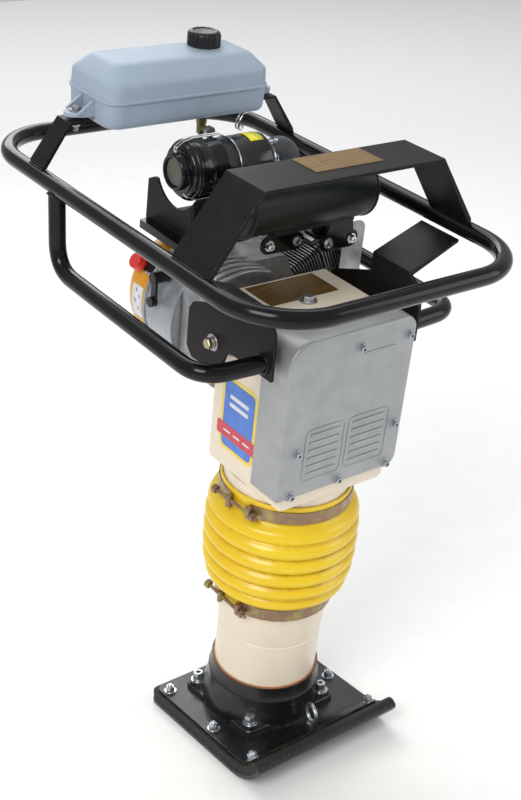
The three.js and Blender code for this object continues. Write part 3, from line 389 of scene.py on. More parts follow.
def arc_points(cx, cy, r, a0, a1, n):
    span = [a0 + (a1 - a0) * i / n for i in range(n + 1)]
    return [(cx + r * cos(radians(a)), cy + r * sin(radians(a))) for a in span]


def rounded(half_x, half_y, r, n, cx=0.0, cy=0.0):
    made = []
    corners = ((1, -1, -90), (1, 1, 0), (-1, 1, 90), (-1, -1, 180))
    for sx, sy, start in corners:
        made += arc_points(cx + sx * (half_x - r), cy + sy * (half_y - r), r, start, start + 90, n)
    return made


def bend(start, corner, end, n):
    """Points of a curve that leaves start towards the corner and turns there to the end."""
    steps = [k / n for k in range(n + 1)]
    return [start * (1 - t) ** 2 + corner * (2 * t * (1 - t)) + end * t * t for t in steps]


def soften(points, radius, n, closed=False):
    """Rounds the corners of a line of 2D points."""
    made = []
    count = len(points)
    for i, p in enumerate(points):
        if not closed and i in (0, count - 1):
            made.append(p)
            continue
        a, b, c = Vector(points[i - 1]), Vector(p), Vector(points[(i + 1) % count])
        reach = min(radius, (a - b).length * 0.45, (c - b).length * 0.45)
        start, end = b + (a - b).normalized() * reach, b + (c - b).normalized() * reach
        made += [(q.x, q.y) for q in bend(start, b, end, n)]
    return made


def circle(r, n, turn=0.0):
    return [(r * cos(turn + TAU * k / n), r * sin(turn + TAU * k / n)) for k in range(n)]


def at_height(outline, z):
    return [(x, y, z) for x, y in outline]


def join_rings(bm, a, b):
    """Faces between two closed rings of vertices; a ring of one vertex gives a fan."""
    n = max(len(a), len(b))
    if n == 1:
        return
    for k in range(n):
        j = (k + 1) % n
        if len(a) == 1:
            bm.faces.new((a[0], b[j], b[k]))
        elif len(b) == 1:
            bm.faces.new((a[k], a[j], b[0]))
        else:
            bm.faces.new((a[k], a[j], b[j], b[k]))


def revolve(bm, profile, seg=72, shape=None):
    """Turns (radius, height) points about Z, into a ring if neither end is on the axis.

    shape(angle, radius) may change the radius.
    """
    rings = []
    for r, z in profile:
        if r < 1e-6:
            rings.append([bm.verts.new((0, 0, z))])
            continue
        ring = []
        for k in range(seg):
            a = TAU * k / seg
            rr = shape(a, r) if shape else r
            ring.append(bm.verts.new((rr * cos(a), rr * sin(a), z)))
        rings.append(ring)
    for a, b in zip(rings, rings[1:]):
        join_rings(bm, a, b)
    if profile[0][0] and profile[-1][0]:
        join_rings(bm, rings[-1], rings[0])


def loft(bm, rings, cap=True, closed=False):
    """Joins rings of the same count of 3D points, and gives back the rings of vertices."""
    made = [[bm.verts.new(p) for p in ring] for ring in rings]
    for a, b in zip(made, made[1:]):
        join_rings(bm, a, b)
    if closed:
        join_rings(bm, made[-1], made[0])
    elif cap:
        bm.faces.new(list(reversed(made[0])))
        bm.faces.new(made[-1])
    return made


def slab(bm, outline, z0, z1):
    loft(bm, [at_height(outline, z0), at_height(outline, z1)])


def frame_ring(bm, outer, inner, z0, z1):
    """A slab with a hole; both outlines have the same count of points."""
    loft(bm, [at_height(outer, z0), at_height(outer, z1), at_height(inner, z1), at_height(inner, z0)],
         closed=True)


def strip(bm, rows):
    """A band one face wide through pairs of points."""
    made = [[bm.verts.new(p) for p in row] for row in rows]
    for a, b in zip(made, made[1:]):
        bm.faces.new((a[0], a[1], b[1], b[0]))


def tube(bm, path, radius, sides, closed=False):
    """Round bar along 3D points; radius may be a list."""
    points = [Vector(p) for p in path]
    n = len(points)
    radii = radius if isinstance(radius, list) else [radius] * n
    tangents = []
    for i in range(n):
        prev = points[(i - 1) % n] if closed or i else points[0]
        after = points[(i + 1) % n] if closed or i < n - 1 else points[-1]
        tangents.append((after - prev).normalized())
    side = tangents[0].orthogonal().normalized()
    if abs(tangents[0].z) < 0.9:
        side = tangents[0].cross(Vector((0, 0, 1))).normalized()
    rings = []
    for i in range(n):
        if i:
            side = tangents[i - 1].rotation_difference(tangents[i]) @ side
            side = (side - tangents[i] * side.dot(tangents[i])).normalized()
        up = side.cross(tangents[i])
        rings.append([points[i] + (side * x + up * y) * radii[i] for x, y in circle(1, sides)])
    loft(bm, rings, closed=closed)


def smooth_path(points, per):
    """Catmull-Rom line through 3D points."""
    pts = [Vector(p) for p in points]
    pts = [pts[0] * 2 - pts[1], *pts, pts[-1] * 2 - pts[-2]]
    made = []
    for a, b, c, d in zip(pts, pts[1:], pts[2:], pts[3:]):
        for t in (k / per for k in range(per)):
            made.append(0.5 * (2 * b + (c - a) * t + (2 * a - 5 * b + 4 * c - d) * t * t
                               + (3 * b - a - 3 * c + d) * t ** 3))
    made.append(pts[-2])
    return made


def bent_path(points, radius, per):
    """Straight runs joined by arcs."""
    pts = [Vector(p) for p in points]
    made = [pts[0]]
    for a, b, c in zip(pts, pts[1:], pts[2:]):
        back, ahead = (a - b).normalized(), (c - b).normalized()
        reach = radius / tan(back.angle(ahead) / 2)
        made += bend(b + back * reach, b, b + ahead * reach, per)
    made.append(pts[-1])
    return made


def hex_head(bm, across, z0, height, turn, dish=0.0):
    """Hexagon with a chamfered top."""
    ring = circle(across / sqrt(3), 6, turn)
    top = z0 + height
    rings = [at_height(ring, z0), at_height(ring, z0 + height * 0.82),
             [(x * 0.86, y * 0.86, top) for x, y in ring]]
    if dish:
        rings.append([(x * 0.5, y * 0.5, top) for x, y in ring])
        rings.append([(x * 0.45, y * 0.45, top - dish) for x, y in ring])
    loft(bm, rings)


def washer(bm, r, hole, z0, thick):
    edge = min(0.4, thick * 0.3)
    revolve(bm, [(hole, z0), (r - edge, z0), (r, z0 + edge), (r, z0 + thick - edge), (r - edge, z0 + thick),
                 (hole, z0 + thick)], 32)


def bolt(bm, across, height, flange, turn, stud=0.0, spring=False, dish=0.0):
    """Washer, spring washer and hexagon, with a stud end if it is a nut, standing on z = 0."""
    washer(bm, flange, across * 0.25, 0.0, 1.8)
    z = 1.8
    if spring:
        washer(bm, across * 0.56, across * 0.28, z, 2.2)
        z += 2.2
    hex_head(bm, across, z, height, turn, dish)
    if stud:
        end = z + height + stud
        revolve(bm, [(0, z), (across * 0.30, z), (across * 0.30, end - 1), (across * 0.24, end), (0, end)],
                20)


def socket_screw(bm, r, height, turn):
    """Washer and round head with a hexagonal socket; every ring has the same count of points."""
    count, low, high = 24, 1.4, 1.4 + height
    washer(bm, r * 1.25, r * 0.5, 0, low)
    rim, key = circle(r, count), key_outline(r * 0.5, count, turn)
    loft(bm, [at_height(rim, low), at_height(rim, high - 0.8), [(x * 0.88, y * 0.88, high) for x, y in rim],
              at_height(key, high), at_height(key, high - 3.2)])


def key_outline(r, n, turn):
    """Hexagon about a circle of this radius, given as n points."""
    made = []
    for k in range(n):
        a = TAU * k / n
        reach = r / cos((a - turn) % (TAU / 6) - TAU / 12)
        made.append((reach * cos(a), reach * sin(a)))
    return made


def band_clip(bm, x, z0, z1):
    """The small screw housing on a strap."""
    stamp(bm, axis_w(x, -6, 0), slab, rounded(4.5, 3.2, 1, 2), z0, z1)


def stamp(bm, at, draw, *args, **options):
    """Draws one shape by itself and adds it at this place."""
    one = drawn(draw, *args, **options)
    one.transform(at)
    mesh = bpy.data.meshes.new("part")
    one.to_mesh(mesh)
    bm.from_mesh(mesh)
    one.free()
    bpy.data.meshes.remove(mesh)


def drawn(draw, *args, **options):
    """A new drawing with one shape in it."""
    bm = bmesh.new()
    draw(bm, *args, **options)
    return bm


def piece(name, bm, look, body="upper", at=None, leaning=True, sharp=34, bevel=0.0, steps=2, stands_for=None,
          thick=0.0, loose=False):
    """Makes an object of a drawing and lets it ride on its body."""
    if at is not None:
        bm.transform(at)
    if leaning:
        bm.transform(LEAN)
    bm.transform(Matrix.Scale(MM, 4))
    bmesh.ops.recalc_face_normals(bm, faces=bm.faces)
    mesh = bpy.data.meshes.new(name)
    bm.to_mesh(mesh)
    bm.free()
    for polygon in mesh.polygons:
        polygon.use_smooth = True
    mesh.set_sharp_from_angle(angle=radians(sharp))
    mesh.materials.append(LOOKS[look])
    obj = add_object(name, mesh)
    if thick:
        shell = obj.modifiers.new("thick", "SOLIDIFY")
        shell.thickness = thick * MM
        shell.offset = -1
    if bevel:
        soften_edges(obj, bevel, sharp, steps)
    if not loose:
        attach(obj, body)
    if stands_for:
        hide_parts(stands_for)
    return obj


def soften_edges(obj, width, angle, steps=2):
    mod = obj.modifiers.new("edges", "BEVEL")
    mod.width = width * MM
    mod.segments = steps
    mod.limit_method = "ANGLE"
    mod.angle_limit = radians(angle)
    mod.harden_normals = True


# ---- CAD nodes that keep their shape
def dress(look, names, bevel=0.0, angle=30):
    """Gives CAD nodes a look and softened or clean edges, and leaves their vertices alone."""
    for name in names.split():
        obj = NODES[name]
        mesh = obj.data
        mesh.materials.clear()
        mesh.materials.append(LOOKS[look])
        if "custom_normal" in mesh.attributes:
            mesh.attributes.remove(mesh.attributes["custom_normal"])
        for polygon in mesh.polygons:
            polygon.use_smooth = True
        weld = obj.modifiers.new("weld", "WELD")
        weld.merge_threshold = 0.00001
        if bevel:
            soften_edges(obj, bevel, angle)
        else:
            split = obj.modifiers.new("split", "EDGE_SPLIT")
            split.split_angle = radians(angle)


def dress_nodes():
    dress("cast_black", "sole_plate shoe_deck", 1.2)
    dress("pad", "sole_pad", 1.0)
    dress("cast_black", "shoe_casting")
    dress("bright_zinc", "towing_eye", 0, 50)
    dress("steel", "spring_cap ram_piston crank_gear connecting_rod wrist_pin pinion_drum clutch_rotor")
    dress("steel", "crankshaft flywheel recoil_pulley")
    dress("cream", "guide_cylinder crankcase_housing")
    dress("zinc", "lower_band upper_band lower_band_bolt upper_band_bolt")
    dress("cast_alloy", "clutch_housing engine_block rocker_cover carburettor")
    dress("shroud_grey", "blower_housing")
    dress("cast_alloy", "side_baffle", 0.5)
    dress("black_plastic", "spark_plug recoil_grip throttle_lever")
    dress("red", "stop_switch")
    dress("black_rubber", "intake_elbow", 0, 60)
    dress("foam", "filter_element")
    dress("sheet_black", "air_cleaner_bracket guard_strap tank_upright_left tank_upright_right", 0.7)
    dress("sheet_black", "mount_plate_left mount_plate_right", 0.7)
    dress("brass", "fuel_cock")
    dress("steel", "fuel_lever", 0.4)


make_blacks()
make_paints()
make_metals()
make_plastics()
make_prints()
make_camera()
make_lights()
make_floor()
dress_nodes()


# ---- foot
def make_leg():
    bm = bmesh.new()
    outer = [(72, 70.3), (82, 70.3), (82, 74), (82, 185), (82, 188.4), (80.8, 189.8), (80.8, 191.2),
             (82, 192.6), (82.3, 196), (84.2, 219), (86.1, 241), (86.3, 246), (86.3, 282), (85.3, 288),
             (81.6, 291), (81.6, 400), (72, 400)]
    revolve(bm, outer, 96)
    piece("leg_shell", bm, "cream", "foot", stands_for="spring_cylinder")
    bm = bmesh.new()
    revolve(bm, [(82.2, 106.5), (84.6, 106.5), (84.6, 110.8), (84.0, 111.6), (82.2, 111.6)], 96)
    piece("leg_seal", bm, "seam_rust", "foot")


def bellows_profile():
    """Five waves on a barrel line, then a plain shoulder up to the top cuff."""
    line = [(276, 94.5), (284, 100.5), (292, 104), (304, 107.5), (320, 110), (345, 111.5), (375, 111.5),
            (404, 110.5), (416, 109), (424, 105.5), (432, 100.2), (436, 98.6)]
    low, high, steps = 276, 436, 120
    wave_low, wave_high, waves = 278, 406, 5
    crest, sunk = 9.4, 2.2
    outer = []
    for i in range(steps + 1):
        w = low + (high - low) * i / steps
        for (w0, r0), (w1, r1) in zip(line, line[1:]):
            if w0 <= w <= w1:
                r = r0 + (r1 - r0) * (w - w0) / (w1 - w0)
        if wave_low < w < wave_high:
            r += crest * abs(sin(pi * (w - wave_low) / (wave_high - wave_low) * waves)) ** 0.8 - sunk
        elif w >= wave_high:
            rise = sin(min(pi / 2, (w - wave_high) / 8)) ** 0.8
            r += (9.0 * rise - sunk) * min(1.0, (high - w) / 10)
        outer.append((r, w))
    return outer


def make_bellows():
    wall = 4.2
    outer = bellows_profile()
    inner = [(r - wall, w) for r, w in reversed(outer[4:-4:3])]
    low_cuff = [(86.6, 252), (90.8, 252), (91.6, 253), (91.6, 256), (91.6, 275)]
    high_cuff = [(99.8, 438), (99.8, 465), (99.0, 466), (96.3, 466), (96.3, 434)]
    bm = bmesh.new()
    revolve(bm, soften(low_cuff, 1, 2) + outer + soften(high_cuff, 1, 2) + inner + [(86.6, 277)], 96)
    obj = piece("bellows_skin", bm, "yellow_rubber", "foot", sharp=60, stands_for="bellows",
                loose=True)
    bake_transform(obj)


def make_springs():
    coil_r, wire_r, per_turn = 52, 5.9, 24
    for name, w0, w1, turns in (("spring_lower", 72, 227, 5), ("spring_upper", 243, 349, 4)):
        bm = bmesh.new()
        path = []
        for i in range(turns * per_turn + 1):
            a = TAU * i / per_turn
            w = w0 + 6 + (w1 - w0 - 12) * i / (turns * per_turn)
            path.append((coil_r * cos(a), coil_r * sin(a), w))
        tube(bm, path, wire_r, 10)
        obj = piece(name + "_coil", bm, "steel", "foot", stands_for=name, loose=True)
        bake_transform(obj)


def make_foot_fasteners():
    """The front pair of deck nuts lies on the toe and tips with it."""
    bm = bmesh.new()
    for x in (-118.5, 118.5):
        for y in (87, -37, -142):
            tip = asin((TOE_V - y) / TOE_R) if y < TOE_V else 0.0
            lift = TOE_R * (1 - cos(tip))
            at = axis_w(x, y, 26 + lift) @ Matrix.Rotation(-tip, 4, "X")
            stamp(bm, at, bolt, 13, 8, 10.5, turn=0.4 + x * 0.01 + y * 0.02, stud=3)
    piece("deck_nuts", bm, "bright_zinc", "foot", leaning=False)
    bm = bmesh.new()
    for x in (-72, 72):
        for y in (-72, 72):
            at = axis_w(x, y, 38)
            stamp(bm, at, bolt, 16, 11, 12.5, turn=0.2 + x * 0.013 + y * 0.007, spring=True, dish=3.5)
    piece("flange_bolts", bm, "bright_zinc", "foot", leaning=False)


# ---- crankcase
def cover_ring(v, inset):
    """Outline of the cover at this v: wide rounding at the top left, tight at the bottom left."""
    half, low, high = COVER_HALF - inset, COVER_LOW + inset, COVER_HIGH - inset
    corners = ((half, high, 22, 0), (-half, high, 34, 90), (-half, low, 8, 180), (half, low, 17, 270))
    pts = []
    for u, w, r, start in corners:
        r = max(2.0, r - inset)
        cu = u - copysign(r, u)
        cw = w - r if w == high else w + r
        pts += [(x, v, y) for x, y in arc_points(cu, cw, r, start, start + 90, 12)]
    return pts


def make_cover():
    """A pan with a rounded front edge, open at the back but for a lip."""
    edge_r = 4.6
    rings = [cover_ring(-50.3, 21), cover_ring(-50.3, 0.3), cover_ring(-51, 0), cover_ring(-98, 0.6)]
    for i in range(1, 7):
        a = pi / 2 * i / 6
        rings.append(cover_ring(COVER_V + edge_r * (1 - sin(a)), 0.6 + edge_r * (1 - cos(a))))
    bm = bmesh.new()
    rim = loft(bm, rings, cap=False)[-1]
    face = [bm.verts.new(p) for p in cover_ring(COVER_V, 9)]
    join_rings(bm, rim, face)
    bm.faces.new(face)
    piece("cover_shell", bm, "silver", stands_for="crankcase_cover", sharp=50, thick=5.5)


def make_cover_relief():
    """Two framed groups of ribs and one short bar, where the photo has raised characters."""
    groups = ((-62, -8), (14, 74))
    bm = bmesh.new()
    for u0, u1 in groups:
        for i in range(6):
            slab(bm, rounded((u1 - u0) / 2, 1.9, 1.8, 4, (u0 + u1) / 2, 541 + 12.5 * i), 0, 1.6)
    for u0, u1 in groups:
        half, middle = (u1 - u0) / 2, (u0 + u1) / 2
        outline = rounded(half + 8, 42, 10, 6, middle, 572)
        frame_ring(bm, outline, rounded(half + 6.6, 40.6, 8.6, 6, middle, 572), 0, 1.1)
    slab(bm, rounded(29, 1.8, 1.7, 4, 46, 712), 0, 1.2)
    piece("cover_relief", bm, "silver", at=axis_front(0, COVER_V, 0), bevel=0.6)


def make_cover_screws():
    places = ((-87, 513), (-1.4, 515), (89.5, 514.5), (-83.4, 581), (95, 580.5), (9.3, 723.5), (97, 723.5))
    bosses = bmesh.new()
    heads = bmesh.new()
    for i, (u, w) in enumerate(places):
        stamp(bosses, axis_front(u, COVER_V + 1, w), revolve,
              [(0, -2), (8.2, -2), (8.0, 1.2), (7.2, 2.2), (0, 2.2)], 28)
        stamp(heads, axis_front(u, COVER_V - 1.2, w), socket_screw, 4.9, 5.2, 0.5 * i)
    piece("cover_bosses", bosses, "silver")
    piece("cover_screws", heads, "bright_zinc")


def make_decal():
    """A plain label: blue field in a yellow frame, with bars in place of any print."""
    def label(name, look, lift, blocks):
        bm = bmesh.new()
        for outline in blocks:
            slab(bm, outline, 0, 0.15)
        turn = Matrix(((0, 0, -1, -94.5 - lift), (1, 0, 0, 0), (0, 1, 0, 0), (0, 0, 0, 1)))
        piece(name, bm, look, at=turn, sharp=60)

    v, w = 11, 574
    label("decal_frame", "print_yellow", 0.1, [rounded(41, 60, 13, 8, v, w)])
    label("decal_field", "print_blue", 0.3, [rounded(35, 54, 8, 8, v, w)])
    label("decal_bars", "print_white", 0.5, [rounded(22, 3.2, 3, 4, v, w + rise) for rise in (30, 17)])
    label("decal_stripe", "print_red", 0.5, [rounded(47, 11, 4, 5, v, w - 29)])
    dashes = [rounded(8, 1.5, 1.4, 3, v + shift, w - 29) for shift in (-23, 0, 23)]
    label("decal_dashes", "print_white", 0.7, dashes)


def name_plate(name, corners, w, look, body):
    """Thin plate with ruled lines; corners are (u0, u1, v0, v1)."""
    u0, u1, v0, v1 = corners
    cu, cv, hu, hv = (u0 + u1) / 2, (v0 + v1) / 2, (u1 - u0) / 2, (v1 - v0) / 2
    top, ink = w + 0.9, w + 1.0
    piece(name, drawn(slab, rounded(hu, hv, 1.5, 3, cu, cv), w + 0.15, top), look, body, bevel=0.2)
    bm = bmesh.new()
    outer, inner = (rounded(hu - inset, hv - inset, 1, 2, cu, cv) for inset in (1.5, 2.3))
    frame_ring(bm, outer, inner, top, ink)
    split = u0 + (u1 - u0) * 0.27
    slab(bm, rounded(0.35, hv - 2.4, 0.3, 2, split, cv), top, ink)
    rows = 7
    for i in range(1, rows):
        v = v0 + (v1 - v0) * i / rows
        slab(bm, rounded((u1 - 4 - split) / 2, 0.3, 0.25, 2, (split + u1 - 2) / 2, v), top, ink)
        slab(bm, rounded((split - u0 - 7) / 2, 0.3, 0.25, 2, (split + u0) / 2, v), top, ink)
    piece(name + "_rules", bm, "plate_dark", body)


def make_case_details():
    name_plate("case_plate", (-60, 61, 6, 68), CASE_TOP, "plate_bronze", "upper")
    piece("case_top_bolt", drawn(bolt, 15, 6.5, 13, turn=0.15), "steel", at=axis_w(-1.5, -1.5, CASE_TOP))


# ---- engine
def tilted():
    """The cylinder leans up from the crankshaft; x is -w here, y is v and z runs out along it."""
    return axis_w(0, 146, CRANK_W) @ Matrix.Rotation(radians(-25), 4, "Y") @ axis_u()


def fin_stack(bm, s0, s1, half_v, reach, count, core):
    """Thin rounded fins on a core, from s0 to s1 along the cylinder."""
    pitch, thick = (s1 - s0) / count, 1.9
    for i in range(count):
        s = s0 + pitch * i
        slab(bm, rounded(reach, half_v, 9, 4), s, s + thick)
    slab(bm, rounded(core, core * 0.9, 12, 5), s0 + 0.1, s1 - 0.3)


def make_cylinder():
    bm = bmesh.new()
    fin_stack(bm, 92.6, 148, 34.8, 56, 11, 33)
    piece("cylinder_fins", bm, "cast_alloy", at=tilted(), bevel=0.35, steps=1,
          stands_for="engine_cylinder")
    bm = bmesh.new()
    fin_stack(bm, 148.5, 184, 37.5, 57, 7, 34)
    slab(bm, rounded(12, 18, 4, 3, -51, 0), 150, 180)
    piece("head_fins", bm, "cast_alloy", at=tilted(), bevel=0.35, steps=1,
          stands_for="cylinder_head")
    bm = bmesh.new()
    for x, y in ((-30, -24), (30, -24), (-30, 24), (30, 24)):
        stamp(bm, axis_w(x + 7, y, 0), hex_head, 11, 206.2, 7, 0.3 + x)
    piece("head_bolts", bm, "bright_zinc", at=tilted())


def make_block_ribs():
    bm = bmesh.new()
    for i in range(5):
        v = 80 + 12.5 * i
        pts = [(-94 + 86 * t / 20, v, 760 + 8 * sin(pi * t / 20)) for t in range(21)]
        tube(bm, pts, 3.0, 8)
    piece("block_ribs", bm, "cast_alloy", sharp=60)


def make_muffler():
    """A drum with a rolled seam at each end."""
    profile = [(0, -67.4), (24, -67.4), (34, -66.6), (39.5, -65), (42.6, -62.6), (44.2, -60), (46.6, -59.6),
               (47.0, -58.4), (46.6, -57.2), (45.6, -56.8), (45.6, -54), (45.6, 154), (45.6, 157),
               (46.6, 157.4), (47.0, 158.6), (46.6, 159.8), (44.4, 160.4), (42.8, 163.4), (39.5, 166.4),
               (34, 168.6), (24, 169.7), (0, 169.8)]
    piece("muffler_drum", drawn(revolve, profile, 96), "muffler_black", at=axis_u(*MUFFLER_AT),
          stands_for="muffler", sharp=40)


def make_muffler_mounts():
    """Each bracket is a lobed plate for two bolts with a web up to the drum."""
    bm = bmesh.new()
    for (u0, w0), (u1, w1) in (MUFFLER_BOLTS[:2], MUFFLER_BOLTS[2:]):
        lobe = [*arc_points(u1, w1, 13.5, -90, 90, 10), *arc_points(u0, w0, 13.5, 90, 270, 10)]
        slab(bm, lobe, 0, 4)
        slab(bm, [(u0 + 3, 830), (u1 - 3, 830), (u1 + 4, w1 + 11), (u0 - 4, w0 + 11)], 0.4, 3.6)
    piece("muffler_brackets", bm, "gloss_black", at=axis_front(0, 82, 0), bevel=0.8)
    bm = bmesh.new()
    slab(bm, [(-6, 78), (140, 78), (140, 100), (-6, 100)], 815, 824)
    stamp(bm, axis_w(112, 118, 782), revolve, [(9, 0), (13, 0), (13, 44), (9, 44)], 40)
    slab(bm, rounded(21, 18, 8, 5, 113, 118), 782, 788)
    piece("muffler_pipe", bm, "muffler_black", bevel=0.6)
    bm = bmesh.new()
    for i, (u, w) in enumerate(MUFFLER_BOLTS):
        stamp(bm, axis_front(u, 78, w), bolt, 10, 5.5, 8, turn=0.4 + i, dish=1.6)
    piece("muffler_bolts", bm, "chrome")


def make_air_cap():
    """Steps down to a hub that holds a plain disc."""
    cap = [(0, -66.6), (20.8, -66.6), (21.4, -67.4), (22.0, -71.4), (23.4, -72), (25.4, -71.8), (26.6, -70.4),
           (27.2, -66.5), (27.8, -60.4), (29.4, -59.2), (36.4, -58.8), (38.6, -58), (40, -56), (40.6, -52.8),
           (43.2, -52), (44, -50.6), (44, -48.2), (45, -47.6), (45, -45.2), (44, -44.5), (34, -44.5),
           (34, -62), (0, -64)]
    piece("air_cap_shell", drawn(revolve, cap, 80), "black_gloss_plastic", "air_cap", at=axis_u(*AIR_AT),
          stands_for="air_cleaner_cap", sharp=50)
    bm = bmesh.new()
    revolve(bm, [(0, -67.6), (20.0, -67.6), (20.6, -67.1), (20.6, -66.5), (0, -66.5)], 64)
    piece("air_cap_disc", bm, "end_disc", "air_cap", at=axis_u(*AIR_AT))


def make_air_body():
    body = [(36.5, -42), (36.5, -43.6), (45, -43.6), (45, -41.2), (44, -40.6), (44, -26), (43, -24.4),
            (40, -23.6), (40, 0), (40.9, 0.8), (40.9, 3.2), (40, 4), (40, 80), (39, 84), (34.5, 89),
            (30, 90.5), (20.5, 91.5), (20, 93), (20, 102.7), (16, 102.7), (16, 80), (36.5, 78)]
    piece("air_body_shell", drawn(revolve, body, 80), "black_gloss_plastic", at=axis_u(*AIR_AT),
          stands_for="air_cleaner_body", sharp=50)
    bm = bmesh.new()
    revolve(bm, [(40.2, 21.5), (40.9, 21.5), (40.9, 23.7), (40.2, 23.7)], 80)
    revolve(bm, [(20.2, 94.5), (21.6, 94.5), (21.6, 101.5), (20.2, 101.5)], 48)
    band_clip(bm, -24.5, 94, 102)
    piece("air_straps", bm, "bright_zinc", at=axis_u(*AIR_AT), sharp=40)
    bm = bmesh.new()
    rows = arc_points(0, 0, 40.35, 150, 206, 14)
    strip(bm, [[(x, y, z) for z in (52, 76)] for x, y in rows])
    piece("air_sticker", bm, "sticker_yellow", at=axis_u(*AIR_AT), thick=-0.25)


def make_air_bails():
    """Wire bails that hold the cap; they are drawn on it and move with it."""
    wire_r = 1.15
    bm = bmesh.new()
    for y in (-3.2, 3.2):
        tube(bm, bent_path([(-45.6, y, 10), (-48.4, y, 4), (-48.4, y, -40), (-44.5, y * 0.9, -58),
                            (-36, y * 0.8, -70), (-30, y * 0.6, -68.5)], 5, 5), wire_r, 10)
    tube(bm, [(-30, -2, -68.5), (-30, 2, -68.5)], wire_r, 10)
    tube(bm, [(-45.6, -4.6, 10), (-45.6, 4.6, 10)], 1.3, 10)
    piece("air_bail_top", bm, "chrome", "air_cap", at=axis_u(*AIR_AT), sharp=60)
    bm = bmesh.new()
    c, s = cos(radians(-47)), sin(radians(-47))
    line = ((41.3, -18), (47.6, -26), (47.6, -52), (41, -66), (35, -68.5))
    tube(bm, bent_path([(r * c, r * s, z) for r, z in line], 4, 5), wire_r, 10)
    piece("air_bail_low", bm, "chrome", "air_cap", at=axis_u(*AIR_AT), sharp=60)


def make_bracket_lip():
    piece("air_bracket_lip", drawn(slab, rounded(11.5, 54, 4, 4, -73, 252), 755, 768), "gloss_black",
          bevel=1.0)


def make_elbow():
    """A boot that bulges at its bend and is ribbed below it."""
    path = smooth_path([(103.2, 244, 861), (110, 244, 863), (122, 244, 866), (131, 242, 860), (134, 237, 842),
                        (130, 231, 818), (123, 227, 798), (118, 226, 785)], 7)
    bend_end = 0.62
    radii = []
    for i in range(len(path)):
        t = i / (len(path) - 1)
        bulge = 5.2 * sin(pi * min(1.0, t / bend_end)) ** 0.8 if t < bend_end else 0.0
        radii.append(18.6 + bulge + (0.7 if i % 3 == 0 and t > bend_end else 0))
    piece("elbow_boot", drawn(tube, path, radii, 40), "black_rubber", stands_for="intake_elbow",
          sharp=70)
    bm = bmesh.new()
    revolve(bm, [(19.6, 104.2), (21.2, 104.2), (21.2, 109.6), (19.6, 109.6)], 48)
    band_clip(bm, -24, 103.5, 110.5)
    piece("elbow_clamp", bm, "bright_zinc", at=axis_u(0, 244, 862), sharp=40)


def on_starter(angle, v, r):
    """Lies flat on a drum of radius r about the crankshaft; x runs round it and y along it."""
    a = radians(angle)
    return axis_w(r * cos(a), v, CRANK_W + r * sin(a)) @ Matrix.Rotation(pi / 2 - a, 4, "Y")


def in_a_slot(face):
    """Twelve slots in the starter's front and twelve in its sloping shoulder."""
    c = face.calc_center_median()
    r = hypot(c.x, c.y)
    if not 9 < degrees(atan2(c.y, c.x)) % 30 < 21:
        return False
    return (27 < r < 51 and c.z > 335) or (66 < r < 80 and c.z > 322)


def make_recoil():
    profile = [(STARTER_R, STARTER_V), (STARTER_R, STARTER_V + 46), (85, STARTER_V + 60), (62, 330),
               (55, 336), (24, 336), (20, 333.5), (0, 333)]
    bm = bmesh.new()
    revolve(bm, soften(profile, 4, 4), 96)
    bmesh.ops.delete(bm, geom=[face for face in bm.faces if in_a_slot(face)], context="FACES")
    piece("recoil_shell", bm, "orange", at=axis_v(0, 0, CRANK_W), thick=2.2, stands_for="recoil_cover",
          sharp=45)
    bm = bmesh.new()
    revolve(bm, soften([(3.6, 88), (11, 88), (11, 96), (8.5, 100), (3.6, 100)], 1, 2), 32)
    piece("rope_guide", bm, "orange", at=axis_u(0, STARTER_V + 22, CRANK_W + 30))


def make_starter_sticker():
    bm = bmesh.new()
    rows = arc_points(0, CRANK_W, STARTER_R + 0.25, 166, 199, 12)
    strip(bm, [[(u, v, w) for v in (274, 302)] for u, w in rows])
    piece("starter_sticker", bm, "print_white", thick=-0.25)
    bm = bmesh.new()
    for angle, v, wide in ((176, 281, 5), (182, 292, 8), (189, 284, 6), (171, 290, 6)):
        at = on_starter(angle, v, STARTER_R + 0.6) @ Matrix.Rotation(radians(35), 4, "Z")
        stamp(bm, at, slab, rounded(wide / 2, 0.9, 0.8, 3), 0, 0.2)
    piece("starter_sticker_marks", bm, "print_black")


def make_switch_plate():
    piece("switch_plate", drawn(slab, rounded(13, 17, 5, 4), 0, 2), "black_plastic",
          at=on_starter(143, 284, STARTER_R + 0.1), bevel=0.4)
    bm = bmesh.new()
    for v in (272, 279):
        stamp(bm, on_starter(151, v, STARTER_R + 2.2), revolve,
              [(0, 0), (2.6, 0), (2.6, 1.2), (1.8, 2), (0, 2)], 20)
    piece("switch_screws", bm, "bright_zinc")


def make_blower_details():
    bm = bmesh.new()
    for v, r in ((186, 2.0), (259.5, 2.2)):
        tube(bm, [(u, v, w) for u, w in arc_points(0, CRANK_W, 98.4, 118, 242, 48)], r, 8)
    piece("blower_beads", bm, "shroud_grey", sharp=60)


# ---- tank
def make_tank():
    """A rounded box: each row is height, inset and corner radius. The lip stands out half way up."""
    rows = ((909.4, 16, 12), (910, 9.5, 16), (911.8, 5, 20), (915.4, 2.2, 22), (921, 0.9, 23), (930, 0.5, 24),
            (944, 0.1, 24), (947.4, 0, 24), (948, -1.9, 26), (948.8, -2.4, 26), (951.2, -2.4, 26),
            (952, -1.9, 26), (952.6, 0, 24), (956, 0.3, 24), (970, 0.9, 24), (974, 1.4, 23), (976.6, 2.8, 22),
            (979.2, 5.4, 21), (994.6, 21.4, 14), (996.6, 24.6, 13), (998, 29, 12), (998.8, 35, 10),
            (999, 43, 8), (999, 52, 5))
    bm = bmesh.new()
    loft(bm, [at_height(rounded(143 - inset, 64 - inset, r, 10, TANK_U, TANK_V), w) for w, inset, r in rows])
    piece("tank_shell", bm, "tank_blue", "handle", stands_for="fuel_tank", sharp=32)


